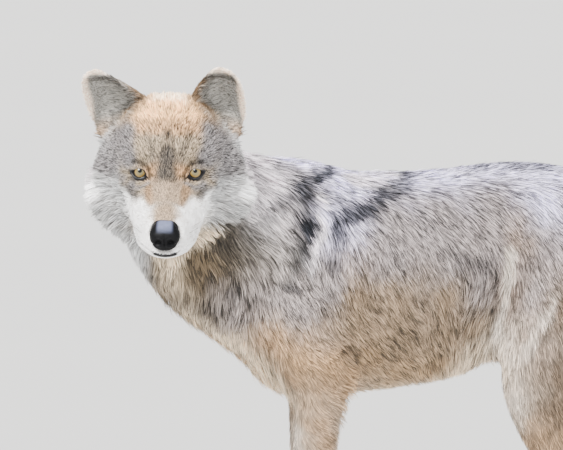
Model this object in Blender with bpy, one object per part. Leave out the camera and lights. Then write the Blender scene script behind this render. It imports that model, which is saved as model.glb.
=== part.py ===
"""A standing timber wolf that looks over its left shoulder, life size, as closed solids out to the tips of the coat.

The body is lofted from tables of cross-sections, joined into one form, and parted with thin cuts into the
parts a person would name.  Metres, +Z up, the wolf faces -X and its left side is -Y.
"""
import math

import bmesh
import bpy
import numpy as np
from mathutils import Matrix, Vector

# Driving dimensions
EYE_MIDDLE = Vector((-0.310, -0.132, 0.724))   # the point between the two pupils
HEAD_YAW = math.radians(53.2)                  # how far the head turns to the wolf's left
HEAD_PITCH = math.radians(18)                  # how far the muzzle points down
PUPIL_APART = 0.0785
EYEBALL_RADIUS = 0.0132
VOXEL = 0.0042
CUT_GAP = 0.0004
SECTION_POINTS = 36
BODY_FACES = 4520
TRUNK_BLEND = 50                               # rounds of smoothing that melt muscles into the trunk
HEAD_WEIGHT = 0.00020                          # how strongly thinning spares the head and the paws

LEFT, RIGHT = -1, 1


# ---------------------------------------------------------------- frames and small tools

def head_frame():
    """Head axes as a matrix: X to the wolf's right, Y forward along the muzzle, Z up through the crown."""
    level = Vector((-math.cos(HEAD_YAW), -math.sin(HEAD_YAW), 0.0))
    forward = level * math.cos(HEAD_PITCH) - Vector((0, 0, math.sin(HEAD_PITCH)))
    side = level.cross(Vector((0, 0, 1)))
    up = side.cross(forward)
    turn = Matrix((side, forward, up)).transposed().to_4x4()
    return Matrix.Translation(EYE_MIDDLE) @ turn


HEAD = head_frame()


def through(rows, steps=4):
    """The rows of a table read along a smooth curve that passes through each of them."""
    rows = np.array(rows, float)
    padded = np.vstack([2 * rows[0] - rows[1], rows, 2 * rows[-1] - rows[-2]])
    read = []
    for before, start, end, after in zip(padded, padded[1:], padded[2:], padded[3:]):
        for t in np.arange(steps) / steps:
            read.append(0.5 * (2 * start + (end - before) * t
                               + (2 * before - 5 * start + 4 * end - after) * t ** 2
                               + (3 * start - before - 3 * end + after) * t ** 3))
    return np.array(read + [rows[-1]])


def ring(centre, side, up, half_width, rise, fall, top_power=2.0, low_power=2.0):
    """A closed cross-section: a superellipse that rises and falls by different amounts from its widest line."""
    angle = np.arange(SECTION_POINTS) * 2 * math.pi / SECTION_POINTS
    cosine, sine = np.cos(angle), np.sin(angle)
    power = 2 / np.where(sine > 0, top_power, low_power)
    across = half_width * np.sign(cosine) * np.abs(cosine) ** power
    height = np.where(sine > 0, rise, fall) * np.sign(sine) * np.abs(sine) ** power
    return np.array(centre) + np.outer(across, side) + np.outer(height, up)


def add_object(name, bm):
    mesh = bpy.data.meshes.new(name)
    bmesh.ops.recalc_face_normals(bm, faces=bm.faces)
    bm.to_mesh(mesh)
    bm.free()
    made = bpy.data.objects.new(name, mesh)
    bpy.context.scene.collection.objects.link(made)
    return made


def loft(name, rings):
    bm = bmesh.new()
    loops = [[bm.verts.new(point) for point in points] for points in rings]
    for low, high in zip(loops, loops[1:]):
        for i in range(SECTION_POINTS):
            bm.faces.new((low[i - 1], low[i], high[i], high[i - 1]))
    bm.faces.new(loops[0])
    bm.faces.new(loops[-1])
    return add_object(name, bm)


def ball(name, frame, centre, radii, tilt=(0, 0, 0)):
    """An ellipsoid, tilted by degrees about the frame's own axes."""
    turn = Matrix.Identity(4)
    for angle, axis in zip(tilt, "XYZ"):
        turn = Matrix.Rotation(math.radians(angle), 4, axis) @ turn
    place = frame @ Matrix.Translation(centre) @ turn @ Matrix.Diagonal((*radii, 1))
    bm = bmesh.new()
    bmesh.ops.create_uvsphere(bm, u_segments=28, v_segments=16, radius=1, matrix=place)
    return add_object(name, bm)


def prism(name, frame, outline, start, end):
    """A cutter: an outline in a frame's Y and Z, drawn out along its X."""
    bm = bmesh.new()
    near = [bm.verts.new(frame @ Vector((start, y, z))) for y, z in outline]
    far = [bm.verts.new(frame @ Vector((end, y, z))) for y, z in outline]
    for i in range(len(outline)):
        bm.faces.new((near[i - 1], near[i], far[i], far[i - 1]))
    bm.faces.new(near)
    bm.faces.new(far)
    return as_cutter(add_object(name, bm))


def grown(outline, by):
    """The outline moved outwards by a thin gap, for the cut that clears the other side."""
    points = np.array(outline)
    ahead = np.roll(points, -1, axis=0) - points
    ahead /= np.linalg.norm(ahead, axis=1)[:, None]
    out = np.stack([ahead[:, 1], -ahead[:, 0]], axis=1)
    area = np.sum(points[:, 0] * np.roll(points[:, 1], -1) - points[:, 1] * np.roll(points[:, 0], -1))
    out *= np.sign(area)
    before = np.roll(out, 1, axis=0)
    corner = (before + out) / (1 + np.sum(before * out, axis=1))[:, None]
    return points + by * corner


def as_cutter(obj):
    obj.hide_render = True
    obj.display_type = "WIRE"
    return obj


def applied(obj, name=None):
    """Replaces an object's mesh by what its modifiers make of it."""
    bpy.context.view_layer.update()
    graph = bpy.context.evaluated_depsgraph_get()
    mesh = bpy.data.meshes.new_from_object(obj.evaluated_get(graph))
    obj.modifiers.clear()
    obj.data = mesh
    mesh.name = name or obj.name
    return obj


def copy_of(obj, name):
    made = bpy.data.objects.new(name, obj.data.copy())
    bpy.context.scene.collection.objects.link(made)
    return made


def cut(obj, cutter, operation):
    tool = obj.modifiers.new(operation.lower(), "BOOLEAN")
    tool.operation = operation
    tool.object = cutter
    tool.solver = "EXACT"
    return applied(obj)


def keep_largest(obj):
    """Drops the crumbs that a cut leaves beside the main piece."""
    bm = bmesh.new()
    bm.from_mesh(obj.data)
    left = set(bm.verts)
    pieces = []
    while left:
        piece, edge = set(), {left.pop()}
        while edge:
            piece |= edge
            edge = {e.other_vert(v) for v in edge for e in v.link_edges} - piece
        left -= piece
        pieces.append(piece)
    largest = max(pieces, key=len)
    bmesh.ops.delete(bm, geom=[v for v in bm.verts if v not in largest], context="VERTS")
    bm.to_mesh(obj.data)
    bm.free()
    return obj


def joined(name, objects):
    """One mesh object that holds the faces of several."""
    bm = bmesh.new()
    for obj in objects:
        bm.from_mesh(obj.data)
        bpy.data.objects.remove(obj)
    return add_object(name, bm)


# ---------------------------------------------------------------- the forms of the body

#        along  sideways  top    bottom  half-width
SPINE = [
    (0.600, 0.000, 0.630, 0.570, 0.018),
    (0.585, 0.000, 0.652, 0.500, 0.056),
    (0.540, 0.000, 0.680, 0.440, 0.084),
    (0.480, 0.000, 0.701, 0.420, 0.096),
    (0.420, 0.000, 0.711, 0.415, 0.097),
    (0.350, 0.000, 0.712, 0.416, 0.097),
    (0.270, 0.000, 0.707, 0.395, 0.102),
    (0.190, 0.000, 0.706, 0.386, 0.109),
    (0.100, 0.000, 0.711, 0.381, 0.115),
    (0.030, 0.000, 0.727, 0.380, 0.115),
    (-0.030, 0.000, 0.737, 0.391, 0.111),
    (-0.090, 0.000, 0.749, 0.443, 0.106),
    (-0.150, -0.004, 0.768, 0.480, 0.099),
    (-0.200, -0.016, 0.791, 0.511, 0.094),
    (-0.245, -0.034, 0.817, 0.549, 0.088),
    (-0.280, -0.056, 0.824, 0.592, 0.078),
    (-0.304, -0.076, 0.800, 0.650, 0.050),
]

#        forward  half-width  top    bottom  widest  top power  low power
SKULL = [
    (-0.150, 0.050, 0.050, -0.060, -0.005, 2.0, 2.0),
    (-0.128, 0.074, 0.076, -0.086, -0.012, 2.1, 2.0),
    (-0.100, 0.086, 0.084, -0.098, -0.020, 2.2, 2.1),
    (-0.072, 0.088, 0.080, -0.102, -0.026, 2.3, 2.2),
    (-0.045, 0.084, 0.068, -0.102, -0.030, 2.3, 2.3),
    (-0.022, 0.075, 0.052, -0.101, -0.034, 1.95, 2.4),
    (-0.002, 0.0650, 0.032, -0.100, -0.042, 1.65, 2.5),
    (0.018, 0.0560, 0.011, -0.098, -0.050, 1.55, 2.6),
    (0.038, 0.0505, -0.005, -0.096, -0.056, 1.65, 2.7),
    (0.062, 0.0455, -0.015, -0.094, -0.060, 1.85, 2.7),
    (0.088, 0.0385, -0.021, -0.092, -0.062, 2.2, 2.6),
    (0.106, 0.0320, -0.025, -0.088, -0.061, 2.4, 2.5),
    (0.119, 0.0245, -0.029, -0.082, -0.059, 2.4, 2.4),
    (0.126, 0.0120, -0.038, -0.072, -0.057, 2.0, 2.0),
]
# The long hair of cheeks and throat, a wide collar round the face
RUFF = [
    (-0.158, 0.050, 0.010, -0.110, -0.050, 2.0, 1.9),
    (-0.135, 0.098, 0.040, -0.142, -0.053, 2.0, 1.9),
    (-0.108, 0.121, 0.054, -0.155, -0.055, 2.0, 1.85),
    (-0.080, 0.124, 0.052, -0.157, -0.056, 2.0, 1.8),
    (-0.056, 0.113, 0.036, -0.150, -0.058, 2.0, 1.8),
    (-0.034, 0.092, 0.012, -0.136, -0.060, 2.0, 1.9),
    (-0.014, 0.068, -0.012, -0.118, -0.062, 2.0, 2.0),
    (0.002, 0.036, -0.035, -0.098, -0.066, 2.0, 2.0),
]

# Fore and hind leg axes: along X, up Z, half-depth fore and aft, half-width
FORELEG = [
    (0.000, 0.440, 0.056, 0.040),
    (0.004, 0.400, 0.051, 0.038),
    (0.001, 0.355, 0.042, 0.035),
    (-0.003, 0.300, 0.0365, 0.032),
    (-0.005, 0.235, 0.0325, 0.029),
    (-0.006, 0.180, 0.0305, 0.028),
    (-0.007, 0.150, 0.0300, 0.0285),
    (-0.004, 0.115, 0.0265, 0.0265),
    (-0.006, 0.080, 0.0265, 0.0270),
    (-0.014, 0.045, 0.0290, 0.0300),
    (-0.016, 0.025, 0.0250, 0.0270),
]
NEAR_HINDLEG = [
    (0.510, 0.655, 0.050, 0.022),
    (0.500, 0.615, 0.082, 0.036),
    (0.478, 0.560, 0.105, 0.045),
    (0.438, 0.480, 0.112, 0.046),
    (0.404, 0.410, 0.090, 0.045),
    (0.404, 0.350, 0.066, 0.040),
    (0.428, 0.290, 0.048, 0.034),
    (0.464, 0.235, 0.035, 0.028),
    (0.492, 0.195, 0.029, 0.025),
    (0.494, 0.150, 0.0255, 0.024),
    (0.488, 0.100, 0.0245, 0.024),
    (0.481, 0.060, 0.0260, 0.027),
    (0.478, 0.028, 0.0240, 0.025),
]
FAR_HINDLEG = [
    (0.510, 0.655, 0.050, 0.022),
    (0.505, 0.615, 0.078, 0.036),
    (0.500, 0.560, 0.095, 0.045),
    (0.503, 0.480, 0.100, 0.046),
    (0.510, 0.410, 0.080, 0.045),
    (0.530, 0.350, 0.060, 0.040),
    (0.566, 0.290, 0.045, 0.034),
    (0.606, 0.240, 0.034, 0.028),
    (0.636, 0.200, 0.029, 0.025),
    (0.636, 0.150, 0.0255, 0.024),
    (0.626, 0.100, 0.0245, 0.024),
    (0.617, 0.060, 0.0260, 0.027),
    (0.614, 0.028, 0.0240, 0.025),
]
TAIL = [
    (0.560, 0.650, 0.026, 0.028),
    (0.600, 0.634, 0.036, 0.036),
    (0.640, 0.596, 0.043, 0.042),
    (0.668, 0.535, 0.048, 0.047),
    (0.688, 0.465, 0.053, 0.052),
    (0.704, 0.390, 0.055, 0.053),
    (0.719, 0.315, 0.046, 0.045),
    (0.730, 0.262, 0.028, 0.028),
    (0.736, 0.230, 0.009, 0.009),
]

#            name               axis         side   along, sideways    paw: half-length, half-width
LEGS = {
    "foreleg_left": (FORELEG, LEFT, 0.000, 0.060, 0.050, 0.038),
    "foreleg_right": (FORELEG, RIGHT, 0.074, 0.055, 0.050, 0.038),
    "hindleg_left": (NEAR_HINDLEG, LEFT, 0.000, 0.068, 0.047, 0.034),
    "hindleg_right": (FAR_HINDLEG, RIGHT, 0.000, 0.066, 0.047, 0.034),
}
TOES = ((-0.74, -0.16), (-0.26, 0.14), (0.26, 0.14), (0.74, -0.16))   # sideways and forward, in paw sizes
TOE_SIZE = (0.024, 0.0112, 0.0185)
PAW_HEIGHT = 0.030
PAW_AHEAD = 0.022


def trunk_and_neck():
    rings = []
    rows = through(SPINE)
    tangents = np.gradient(rows[:, :2], axis=0)
    for (x, y, top, bottom, half_width), (dx, dy) in zip(rows, tangents):
        side = Vector((dy, -dx, 0)).normalized()
        widest = bottom + 0.56 * (top - bottom)
        rings.append(ring((x, y, widest), side, (0, 0, 1), half_width, top - widest, widest - bottom, 2.1, 1.85))
    return loft("trunk_and_neck", rings)


def along_head(name, table):
    rings = []
    for y, half_width, top, bottom, widest, top_power, low_power in through(table, 3):
        points = ring((0, y, widest), (1, 0, 0), (0, 0, 1), half_width, top - widest, widest - bottom,
                      top_power, low_power)
        rings.append([HEAD @ Vector(point) for point in points])
    return loft(name, rings)


def limb(name, axis, along, sideways):
    """A leg or tail: flat-sided rings square to a path that lies in a fore-and-aft plane."""
    rows = through(axis, 3)
    tangents = np.gradient(rows[:, :2], axis=0)
    rings = []
    for (x, z, depth, half_width), (dx, dz) in zip(rows, tangents):
        fore_and_aft = Vector((-dz, 0, dx)).normalized()
        rings.append(ring((x + along, sideways, z), fore_and_aft, (0, 1, 0), depth, half_width, half_width))
    return loft(name, rings)


def paw(name, heel, side, half_length, half_width):
    """A pad and four toes in front of the end of the leg."""
    frame = Matrix.Translation(Vector((heel[0] - PAW_AHEAD, heel[1], 0))) @ Matrix.Rotation(math.radians(-6 * side), 4, "Z")
    parts = [ball(name + "_pad", frame, (0.004, 0, 0.022), (half_length * 0.70, half_width * 0.92, PAW_HEIGHT))]
    for across, ahead in TOES:
        centre = (-half_length * (0.62 + ahead), half_width * across, 0.0130)
        parts.append(ball(name + "_toe", frame, centre, TOE_SIZE, (0, -12, 9 * across)))
    return parts


def muscles():
    """The forms of cheek bone, brow, chest, shoulder, elbow and haunch."""
    made = []
    for side in (-1, 1):
        made += [
            ball("cheek_bone", HEAD, (side * 0.052, -0.030, -0.028), (0.024, 0.036, 0.024)),
            ball("brow", HEAD, (side * 0.030, -0.024, 0.020), (0.027, 0.023, 0.018), (0, side * 16, 0)),
        ]
    made += [
        ball("nape", HEAD, (0.0, -0.128, 0.012), (0.074, 0.056, 0.062)),
        ball("chest_tuft", Matrix.Identity(4), (-0.122, 0.0, 0.520), (0.048, 0.056, 0.052), (0, -25, 0)),
    ]
    for name, (axis, side, along, sideways, _, _) in LEGS.items():
        if name.startswith("fore"):
            made += [
                ball("shoulder", Matrix.Identity(4), (-0.028 + along / 2, side * 0.068, 0.548),
                     (0.084, 0.046, 0.125), (0, 12, 0)),
                ball("upper_arm", Matrix.Identity(4), (-0.014 + along, side * 0.070, 0.455), (0.070, 0.041, 0.078),
                     (0, -38, 0)),
                ball("elbow", Matrix.Identity(4), (0.040 + along, side * (sideways + 0.014), 0.412),
                     (0.022, 0.024, 0.030), (0, -20, 0)),
            ]
        else:
            made.append(ball("haunch", Matrix.Identity(4), (0.474 + along, side * 0.054, 0.555),
                             (0.100, 0.045, 0.115), (0, 10, 0)))
    return made


def whole_body():
    forms = [trunk_and_neck(), along_head("skull", SKULL), along_head("ruff", RUFF), limb("tail", TAIL, 0, 0)]
    forms += muscles()
    for name, (axis, side, along, sideways, half_length, half_width) in LEGS.items():
        forms.append(limb(name, axis, along, side * sideways))
        heel = (axis[-1][0] + along, side * sideways)
        forms += paw(name, heel, side, half_length, half_width)
    body = joined("whole_body", forms)
    remesh = body.modifiers.new("one_form", "REMESH")
    remesh.mode = "VOXEL"
    remesh.voxel_size = VOXEL
    applied(body)
    shape_face(body)
    blend_trunk(body)
    return soften(body, 7)


def soften(body, rounds, group=""):
    smooth = body.modifiers.new("soften", "SMOOTH")
    smooth.factor = 0.5
    smooth.iterations = rounds
    smooth.vertex_group = group
    return applied(body)


def places(obj, frame=None):
    """The object's points as rows of an array, in a frame's axes if one is given."""
    points = np.empty(len(obj.data.vertices) * 3)
    obj.data.vertices.foreach_get("co", points)
    points = points.reshape(-1, 3)
    if frame is None:
        return points
    into = np.array(frame.inverted())
    return points @ into[:3, :3].T + into[:3, 3]


def blend_trunk(body):
    """Melts shoulders, haunches and nape into trunk and neck, and leaves the face, the legs and the tail alone."""
    points = places(body)
    before_face = places(body, HEAD)[:, 1]
    share = np.clip((points[:, 2] - 0.36) / 0.08, 0, 1) * np.clip((-0.036 - before_face) / 0.05, 0, 1)
    share *= np.clip((0.60 - points[:, 0]) / 0.06, 0, 1)
    group = body.vertex_groups.new(name="trunk")
    for index in np.nonzero(share > 0)[0]:
        group.add([int(index)], float(share[index]), "REPLACE")
    soften(body, TRUNK_BLEND, group.name)
    body.vertex_groups.clear()


def flat_soles(body):
    """Cuts the paws off level, so that the pads stand on small flats."""
    bm = bmesh.new()
    bm.from_mesh(body.data)
    everything = bm.verts[:] + bm.edges[:] + bm.faces[:]
    done = bmesh.ops.bisect_plane(bm, geom=everything, plane_co=(0, 0, 0), plane_no=(0, 0, -1), clear_outer=True)
    rim = [g for g in done["geom_cut"] if isinstance(g, bmesh.types.BMEdge)]
    bmesh.ops.edgeloop_fill(bm, edges=rim)
    bm.to_mesh(body.data)
    bm.free()
    return body


#    forward side, height and reach of each push on the face, and how far it goes, in head axes
FACE_PUSHES = [
    ((0.039, 0.008, 0.000), 0.0120, (0.0, -0.0070, -0.0005)),     # eye sockets
    ((0.026, 0.020, -0.008), 0.0110, (-0.0015, -0.0030, -0.0010)),   # inner corners of the eyes
    ((0.000, 0.010, 0.024), 0.0120, (0.0, -0.0035, -0.0030)),     # furrow between the brows
    ((0.000, -0.040, 0.066), 0.0160, (0.0, 0.0, -0.0030)),        # furrow of the forehead
    ((0.040, 0.062, -0.030), 0.0200, (-0.0040, 0.0, 0.0)),        # hollow along the muzzle
    ((0.034, 0.088, -0.062), 0.0180, (0.0025, 0.0, -0.0010)),     # flews
]


def shape_face(body):
    """Pushes the face's points as a sculptor would, each push fading with distance, the same on both sides."""
    local = places(body, HEAD)
    for centre, reach, move in FACE_PUSHES:
        for side in ((-1, 1) if centre[0] else (1,)):
            mirror = np.array((side, 1, 1))
            near = np.exp(-((local - np.array(centre) * mirror) ** 2).sum(1) / (2 * (reach * 0.8) ** 2))
            local += near[:, None] * np.array(move) * mirror
    back = np.array(HEAD)
    body.data.vertices.foreach_set("co", (local @ back[:3, :3].T + back[:3, 3]).ravel())
    body.data.update()


def thinned(body, target):
    """Fewer faces, most of them kept where the form is fine: on the head and the paws."""
    from_face = np.linalg.norm(places(body, HEAD) - np.array((0, 0.03, -0.03)), axis=1)
    fine = np.clip(1.25 - from_face / 0.16, 0, 1) + 0.7 * (places(body)[:, 2] < 0.06)
    group = body.vertex_groups.new(name="plain")
    for index, share in enumerate(fine):
        group.add([index], float(1 - 0.93 * min(share, 1)), "REPLACE")
    decimate = body.modifiers.new("thin", "DECIMATE")
    decimate.vertex_group = group.name
    decimate.vertex_group_factor = HEAD_WEIGHT
    decimate.ratio = target / (2 * len(body.data.polygons))
    applied(body)
    body.vertex_groups.clear()
    bm = bmesh.new()
    bm.from_mesh(body.data)
    bmesh.ops.triangulate(bm, faces=bm.faces)
    bm.to_mesh(body.data)
    bm.free()
    return body


# ---------------------------------------------------------------- ears, eyes and nose

#   inner edge: across, up   outer edge: across, up   forward, depth of the cup (head axes)
EARS = {
    "ear_left": [
        (-0.030, 0.040, -0.098, -0.012, -0.094, 0.012),
        (-0.030, 0.068, -0.104, 0.006, -0.090, 0.026),
        (-0.034, 0.089, -0.108, 0.036, -0.085, 0.031),
        (-0.043, 0.104, -0.108, 0.070, -0.079, 0.028),
        (-0.053, 0.118, -0.105, 0.098, -0.073, 0.021),
        (-0.061, 0.128, -0.098, 0.116, -0.070, 0.013),
        (-0.070, 0.133, -0.086, 0.129, -0.068, 0.006),
    ],
    "ear_right": [
        (0.030, 0.040, 0.096, -0.012, -0.094, 0.012),
        (0.030, 0.064, 0.102, 0.006, -0.090, 0.024),
        (0.036, 0.084, 0.108, 0.034, -0.084, 0.028),
        (0.056, 0.101, 0.114, 0.064, -0.078, 0.024),
        (0.077, 0.116, 0.121, 0.092, -0.071, 0.017),
        (0.092, 0.127, 0.122, 0.111, -0.068, 0.011),
        (0.103, 0.132, 0.116, 0.126, -0.066, 0.005),
    ],
}
EAR_COLUMNS = 14
EAR_SKIN = 0.0075
EAR_FACES = 480


def ear(name):
    """A cupped leaf with a round tip, open forwards, thick enough to hold the short fur on both faces."""
    bm = bmesh.new()
    grid = []
    for inner_x, inner_z, outer_x, outer_z, y, cup in through(EARS[name], 3):
        inner, outer = Vector((inner_x, y, inner_z)), Vector((outer_x, y + 0.004, outer_z))
        line = []
        for column in range(EAR_COLUMNS + 1):
            share = column / EAR_COLUMNS
            depth = cup * (4 * share * (1 - share)) ** 0.8
            line.append(bm.verts.new(inner.lerp(outer, share) + Vector((0, -depth, 0))))
        grid.append(line)
    for low, high in zip(grid, grid[1:]):
        for i in range(EAR_COLUMNS):
            bm.faces.new((low[i], low[i + 1], high[i + 1], high[i]))
    bm.transform(HEAD)
    leaf = add_object(name, bm)
    thick = leaf.modifiers.new("thickness", "SOLIDIFY")
    thick.thickness = EAR_SKIN
    thick.offset = 0
    applied(leaf)
    melt = leaf.modifiers.new("round_edges", "REMESH")
    melt.mode = "VOXEL"
    melt.voxel_size = 0.0022
    applied(leaf)
    soften(leaf, 4)
    fewer = leaf.modifiers.new("fewer", "DECIMATE")
    fewer.ratio = EAR_FACES / (2 * len(leaf.data.polygons))
    return applied(leaf)


NOSE = [  # forward, half-width, top, bottom
    (0.088, 0.014, -0.036, -0.056),
    (0.104, 0.0185, -0.029, -0.062),
    (0.116, 0.0212, -0.029, -0.066),
    (0.126, 0.0208, -0.033, -0.067),
    (0.1325, 0.0170, -0.038, -0.065),
    (0.1360, 0.0090, -0.044, -0.058),
]


def nose():
    rings = []
    for y, half_width, top, bottom in through(NOSE, 3):
        widest = bottom + 0.58 * (top - bottom)
        points = ring((0, y, widest), (1, 0, 0), (0, 0, 1), half_width, top - widest, widest - bottom, 2.5, 2.1)
        rings.append([HEAD @ Vector(point) for point in points])
    pad = loft("nose", rings)
    fewer = pad.modifiers.new("fewer", "DECIMATE")
    fewer.ratio = 0.3
    return applied(pad)


def eye(name, side, grow=0.0):
    place = HEAD @ Matrix.Translation((side * PUPIL_APART / 2, -0.0090, 0.0))
    bm = bmesh.new()
    bmesh.ops.create_uvsphere(bm, u_segments=16, v_segments=9, radius=EYEBALL_RADIUS + grow, matrix=place)
    return add_object(name, bm)


# ---------------------------------------------------------------- parting the body

WORLD = Matrix.Identity(4)


# Outlines of the cuts. From the side: back and up. From the front: sideways and up. Of the head: forward and up
TAIL_SIDE = [(0.606, 0.90), (0.606, 0.570), (0.618, 0.450), (0.648, 0.320), (0.688, 0.225), (0.700, 0.10),
             (0.95, 0.10), (0.95, 0.90)]
FORELEG_SIDE = [(-0.130, 0.470), (-0.130, -0.50), (0.125, -0.50), (0.125, 0.372), (0.076, 0.395), (0.076, 0.421)]
FORELEG_FRONT = [(0.30, 0.60), (0.052, 0.60), (0.052, 0.440), (0.040, 0.385), (0.003, 0.345), (0.003, -0.50),
                 (0.30, -0.50)]
HINDLEG_SIDE = [(0.285, -0.50), (0.285, 0.360), (0.302, 0.405), (0.342, 0.462), (0.640, 0.562), (0.640, 0.30),
                (0.80, 0.25), (0.80, -0.50)]
HEAD_SIDE = [(-0.116, 0.20), (-0.116, -0.060), (-0.078, -0.150), (0.25, -0.150), (0.25, 0.20)]
PAW_TOP = {"fore": 0.088, "hind": 0.080}
ACROSS = Matrix.Rotation(math.radians(-90), 4, "Z")    # draws a side outline out across the animal


def box_outline(low, high):
    return [(low[0], low[1]), (high[0], low[1]), (high[0], high[1]), (low[0], high[1])]


def half(side):
    """The reach of a side cut that takes one half of the animal."""
    return (0.0002, 0.30) if side == LEFT else (-0.30, -0.0002)


def regions():
    """Each part's name and the drawn-out outlines whose common room holds it, in the order of cutting."""
    found = [("tail", [(ACROSS, TAIL_SIDE, -0.09, 0.09)])]
    for name, (axis, side, along, _, _, _) in LEGS.items():
        kind = name[:4]
        heel = axis[-1][0] + along
        paw_side = box_outline((heel - 0.13, -0.10), (heel + 0.13, PAW_TOP[kind]))
        found.append(("paw_" + name.replace("leg", ""), [(ACROSS, paw_side, *half(side))]))
        if kind == "fore":
            front = [(side * y, z) for y, z in FORELEG_FRONT]
            back = Matrix.Translation((along, 0, 0)) @ ACROSS
            found.append((name, [(back, FORELEG_SIDE, *half(side)), (WORLD, front, -0.40, 0.40)]))
        else:
            found.append((name, [(ACROSS, HINDLEG_SIDE, *half(side))]))
    mouth = HEAD @ Matrix.Rotation(math.radians(2), 4, "X")
    nape = Matrix.Translation((-0.055, 0, 0.58)) @ Matrix.Rotation(math.radians(14), 4, "Y")
    found += [
        ("jaw", [(mouth, box_outline((0.004, -0.160), (0.200, -0.079)), -0.060, 0.060)]),
        ("head", [(HEAD, HEAD_SIDE, -0.132, 0.132)]),
        ("neck", [(nape, box_outline((-0.30, -0.40), (0.30, 0.40)), -0.60, 0.0)]),
    ]
    return found


def cutter(name, prisms, gap):
    """The room that several drawn-out outlines share, made larger all round by a gap."""
    room, *others = [prism(name, frame, grown(outline, gap), start - gap, end + gap)
                     for frame, outline, start, end in prisms]
    for other in others:
        cut(room, other, "INTERSECT")
        bpy.data.objects.remove(other)
    return room


def part_body(body):
    """Cuts each part from the body in turn. What is left at the end is the trunk."""
    nodes = {}
    for name, prisms in regions():
        inside = cutter(name + "_cutter", prisms, 0)
        outside = cutter(name + "_clearance", prisms, CUT_GAP)
        nodes[name] = keep_largest(cut(copy_of(body, name), inside, "INTERSECT"))
        cut(body, outside, "DIFFERENCE")
        bpy.data.objects.remove(inside)
        bpy.data.objects.remove(outside)
    body.name = "trunk"
    nodes["trunk"] = keep_largest(body)
    return nodes


def carve(obj, other, grow):
    """Cuts room for one piece, with a thin gap round it, from another."""
    tool = as_cutter(copy_of(other, other.name + "_room"))
    swell = tool.modifiers.new("gap", "DISPLACE")
    swell.strength = grow
    swell.mid_level = 0
    applied(tool)
    cut(obj, tool, "DIFFERENCE")
    bpy.data.objects.remove(tool)
    return keep_largest(obj)


# ---------------------------------------------------------------- looks and assembly

GREY_COAT, CREAM_COAT, TAN_COAT = (0.40, 0.37, 0.34), (0.74, 0.71, 0.66), (0.60, 0.48, 0.37)
COLOURS = {
    "head": (0.46, 0.40, 0.34), "jaw": CREAM_COAT, "neck": (0.52, 0.50, 0.47), "trunk": GREY_COAT,
    "tail": (0.36, 0.33, 0.30), "nose": (0.02, 0.02, 0.022), "eye": (0.62, 0.45, 0.13), "ear": (0.52, 0.40, 0.28),
    "foreleg": TAN_COAT, "hindleg": TAN_COAT, "paw": CREAM_COAT,
}


def paint(obj):
    kind = obj.name.split("_")[0]
    look = bpy.data.materials.new(obj.name)
    look.use_nodes = True
    shader = look.node_tree.nodes["Principled BSDF"]
    shader.inputs["Base Color"].default_value = (*COLOURS[kind], 1)
    shader.inputs["Roughness"].default_value = 0.15 if kind in ("eye", "nose") else 0.8
    obj.data.materials.clear()
    obj.data.materials.append(look)
    obj.data.shade_smooth()
    obj.data.set_sharp_from_angle(angle=math.radians(60))


def centre_over_origin(objects):
    """Moves all parts together so that the origin lies under the middle of the animal, on the floor."""
    points = np.vstack([places(obj) for obj in objects])
    middle = (points.min(0) + points.max(0)) / 2
    for obj in objects:
        obj.data.transform(Matrix.Translation((-middle[0], -middle[1], 0)))


def build():
    for old in list(bpy.data.objects):
        bpy.data.objects.remove(old)
    body = flat_soles(thinned(whole_body(), BODY_FACES))
    nodes = part_body(body)
    nodes["nose"] = nose()
    carve(nodes["head"], nodes["nose"], CUT_GAP)
    carve(nodes["jaw"], nodes["nose"], CUT_GAP)
    for name, side in (("eye_left", LEFT), ("eye_right", RIGHT)):
        socket = as_cutter(eye(name + "_socket", side, CUT_GAP))
        cut(nodes["head"], socket, "DIFFERENCE")
        bpy.data.objects.remove(socket)
        nodes[name] = eye(name, side)
    keep_largest(nodes["head"])
    for name in EARS:
        nodes[name] = ear(name)
        for other in ("head", "neck"):
            carve(nodes[name], nodes[other], CUT_GAP)
    centre_over_origin(nodes.values())
    for node in nodes.values():
        paint(node)


build()
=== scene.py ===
"""The coat, skin, eyes, nose and claws of a timber wolf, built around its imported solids.

The solids reach to the tips of the coat.  One skin lies inside them by the coat's depth, and thin
tufts of hair fill the room between the two.  What the coat does at a place, its lie, length and
markings, is read from short tables of guides that are blended by distance.
"""
import math

import bmesh
import bpy
import numpy as np
from mathutils import Matrix, Vector
from mathutils.bvhtree import BVHTree
from mathutils.kdtree import KDTree


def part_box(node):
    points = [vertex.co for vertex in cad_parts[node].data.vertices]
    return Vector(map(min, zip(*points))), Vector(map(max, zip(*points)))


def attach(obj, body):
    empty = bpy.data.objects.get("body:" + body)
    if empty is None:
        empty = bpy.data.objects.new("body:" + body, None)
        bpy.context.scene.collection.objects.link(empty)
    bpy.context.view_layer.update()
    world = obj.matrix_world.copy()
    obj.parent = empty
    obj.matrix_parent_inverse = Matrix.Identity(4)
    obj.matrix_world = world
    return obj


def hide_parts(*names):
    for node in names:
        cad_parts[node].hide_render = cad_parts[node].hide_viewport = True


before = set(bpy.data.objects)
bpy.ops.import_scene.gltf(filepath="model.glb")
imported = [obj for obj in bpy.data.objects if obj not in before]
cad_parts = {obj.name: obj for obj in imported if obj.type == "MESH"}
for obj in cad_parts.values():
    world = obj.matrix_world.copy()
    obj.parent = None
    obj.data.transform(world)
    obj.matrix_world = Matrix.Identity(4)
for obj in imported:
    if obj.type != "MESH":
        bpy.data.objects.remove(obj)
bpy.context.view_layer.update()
rng = np.random.default_rng(7)         # the source of every random draw for the coat and the whiskers

# ---------------------------------------------------------------- places

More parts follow.
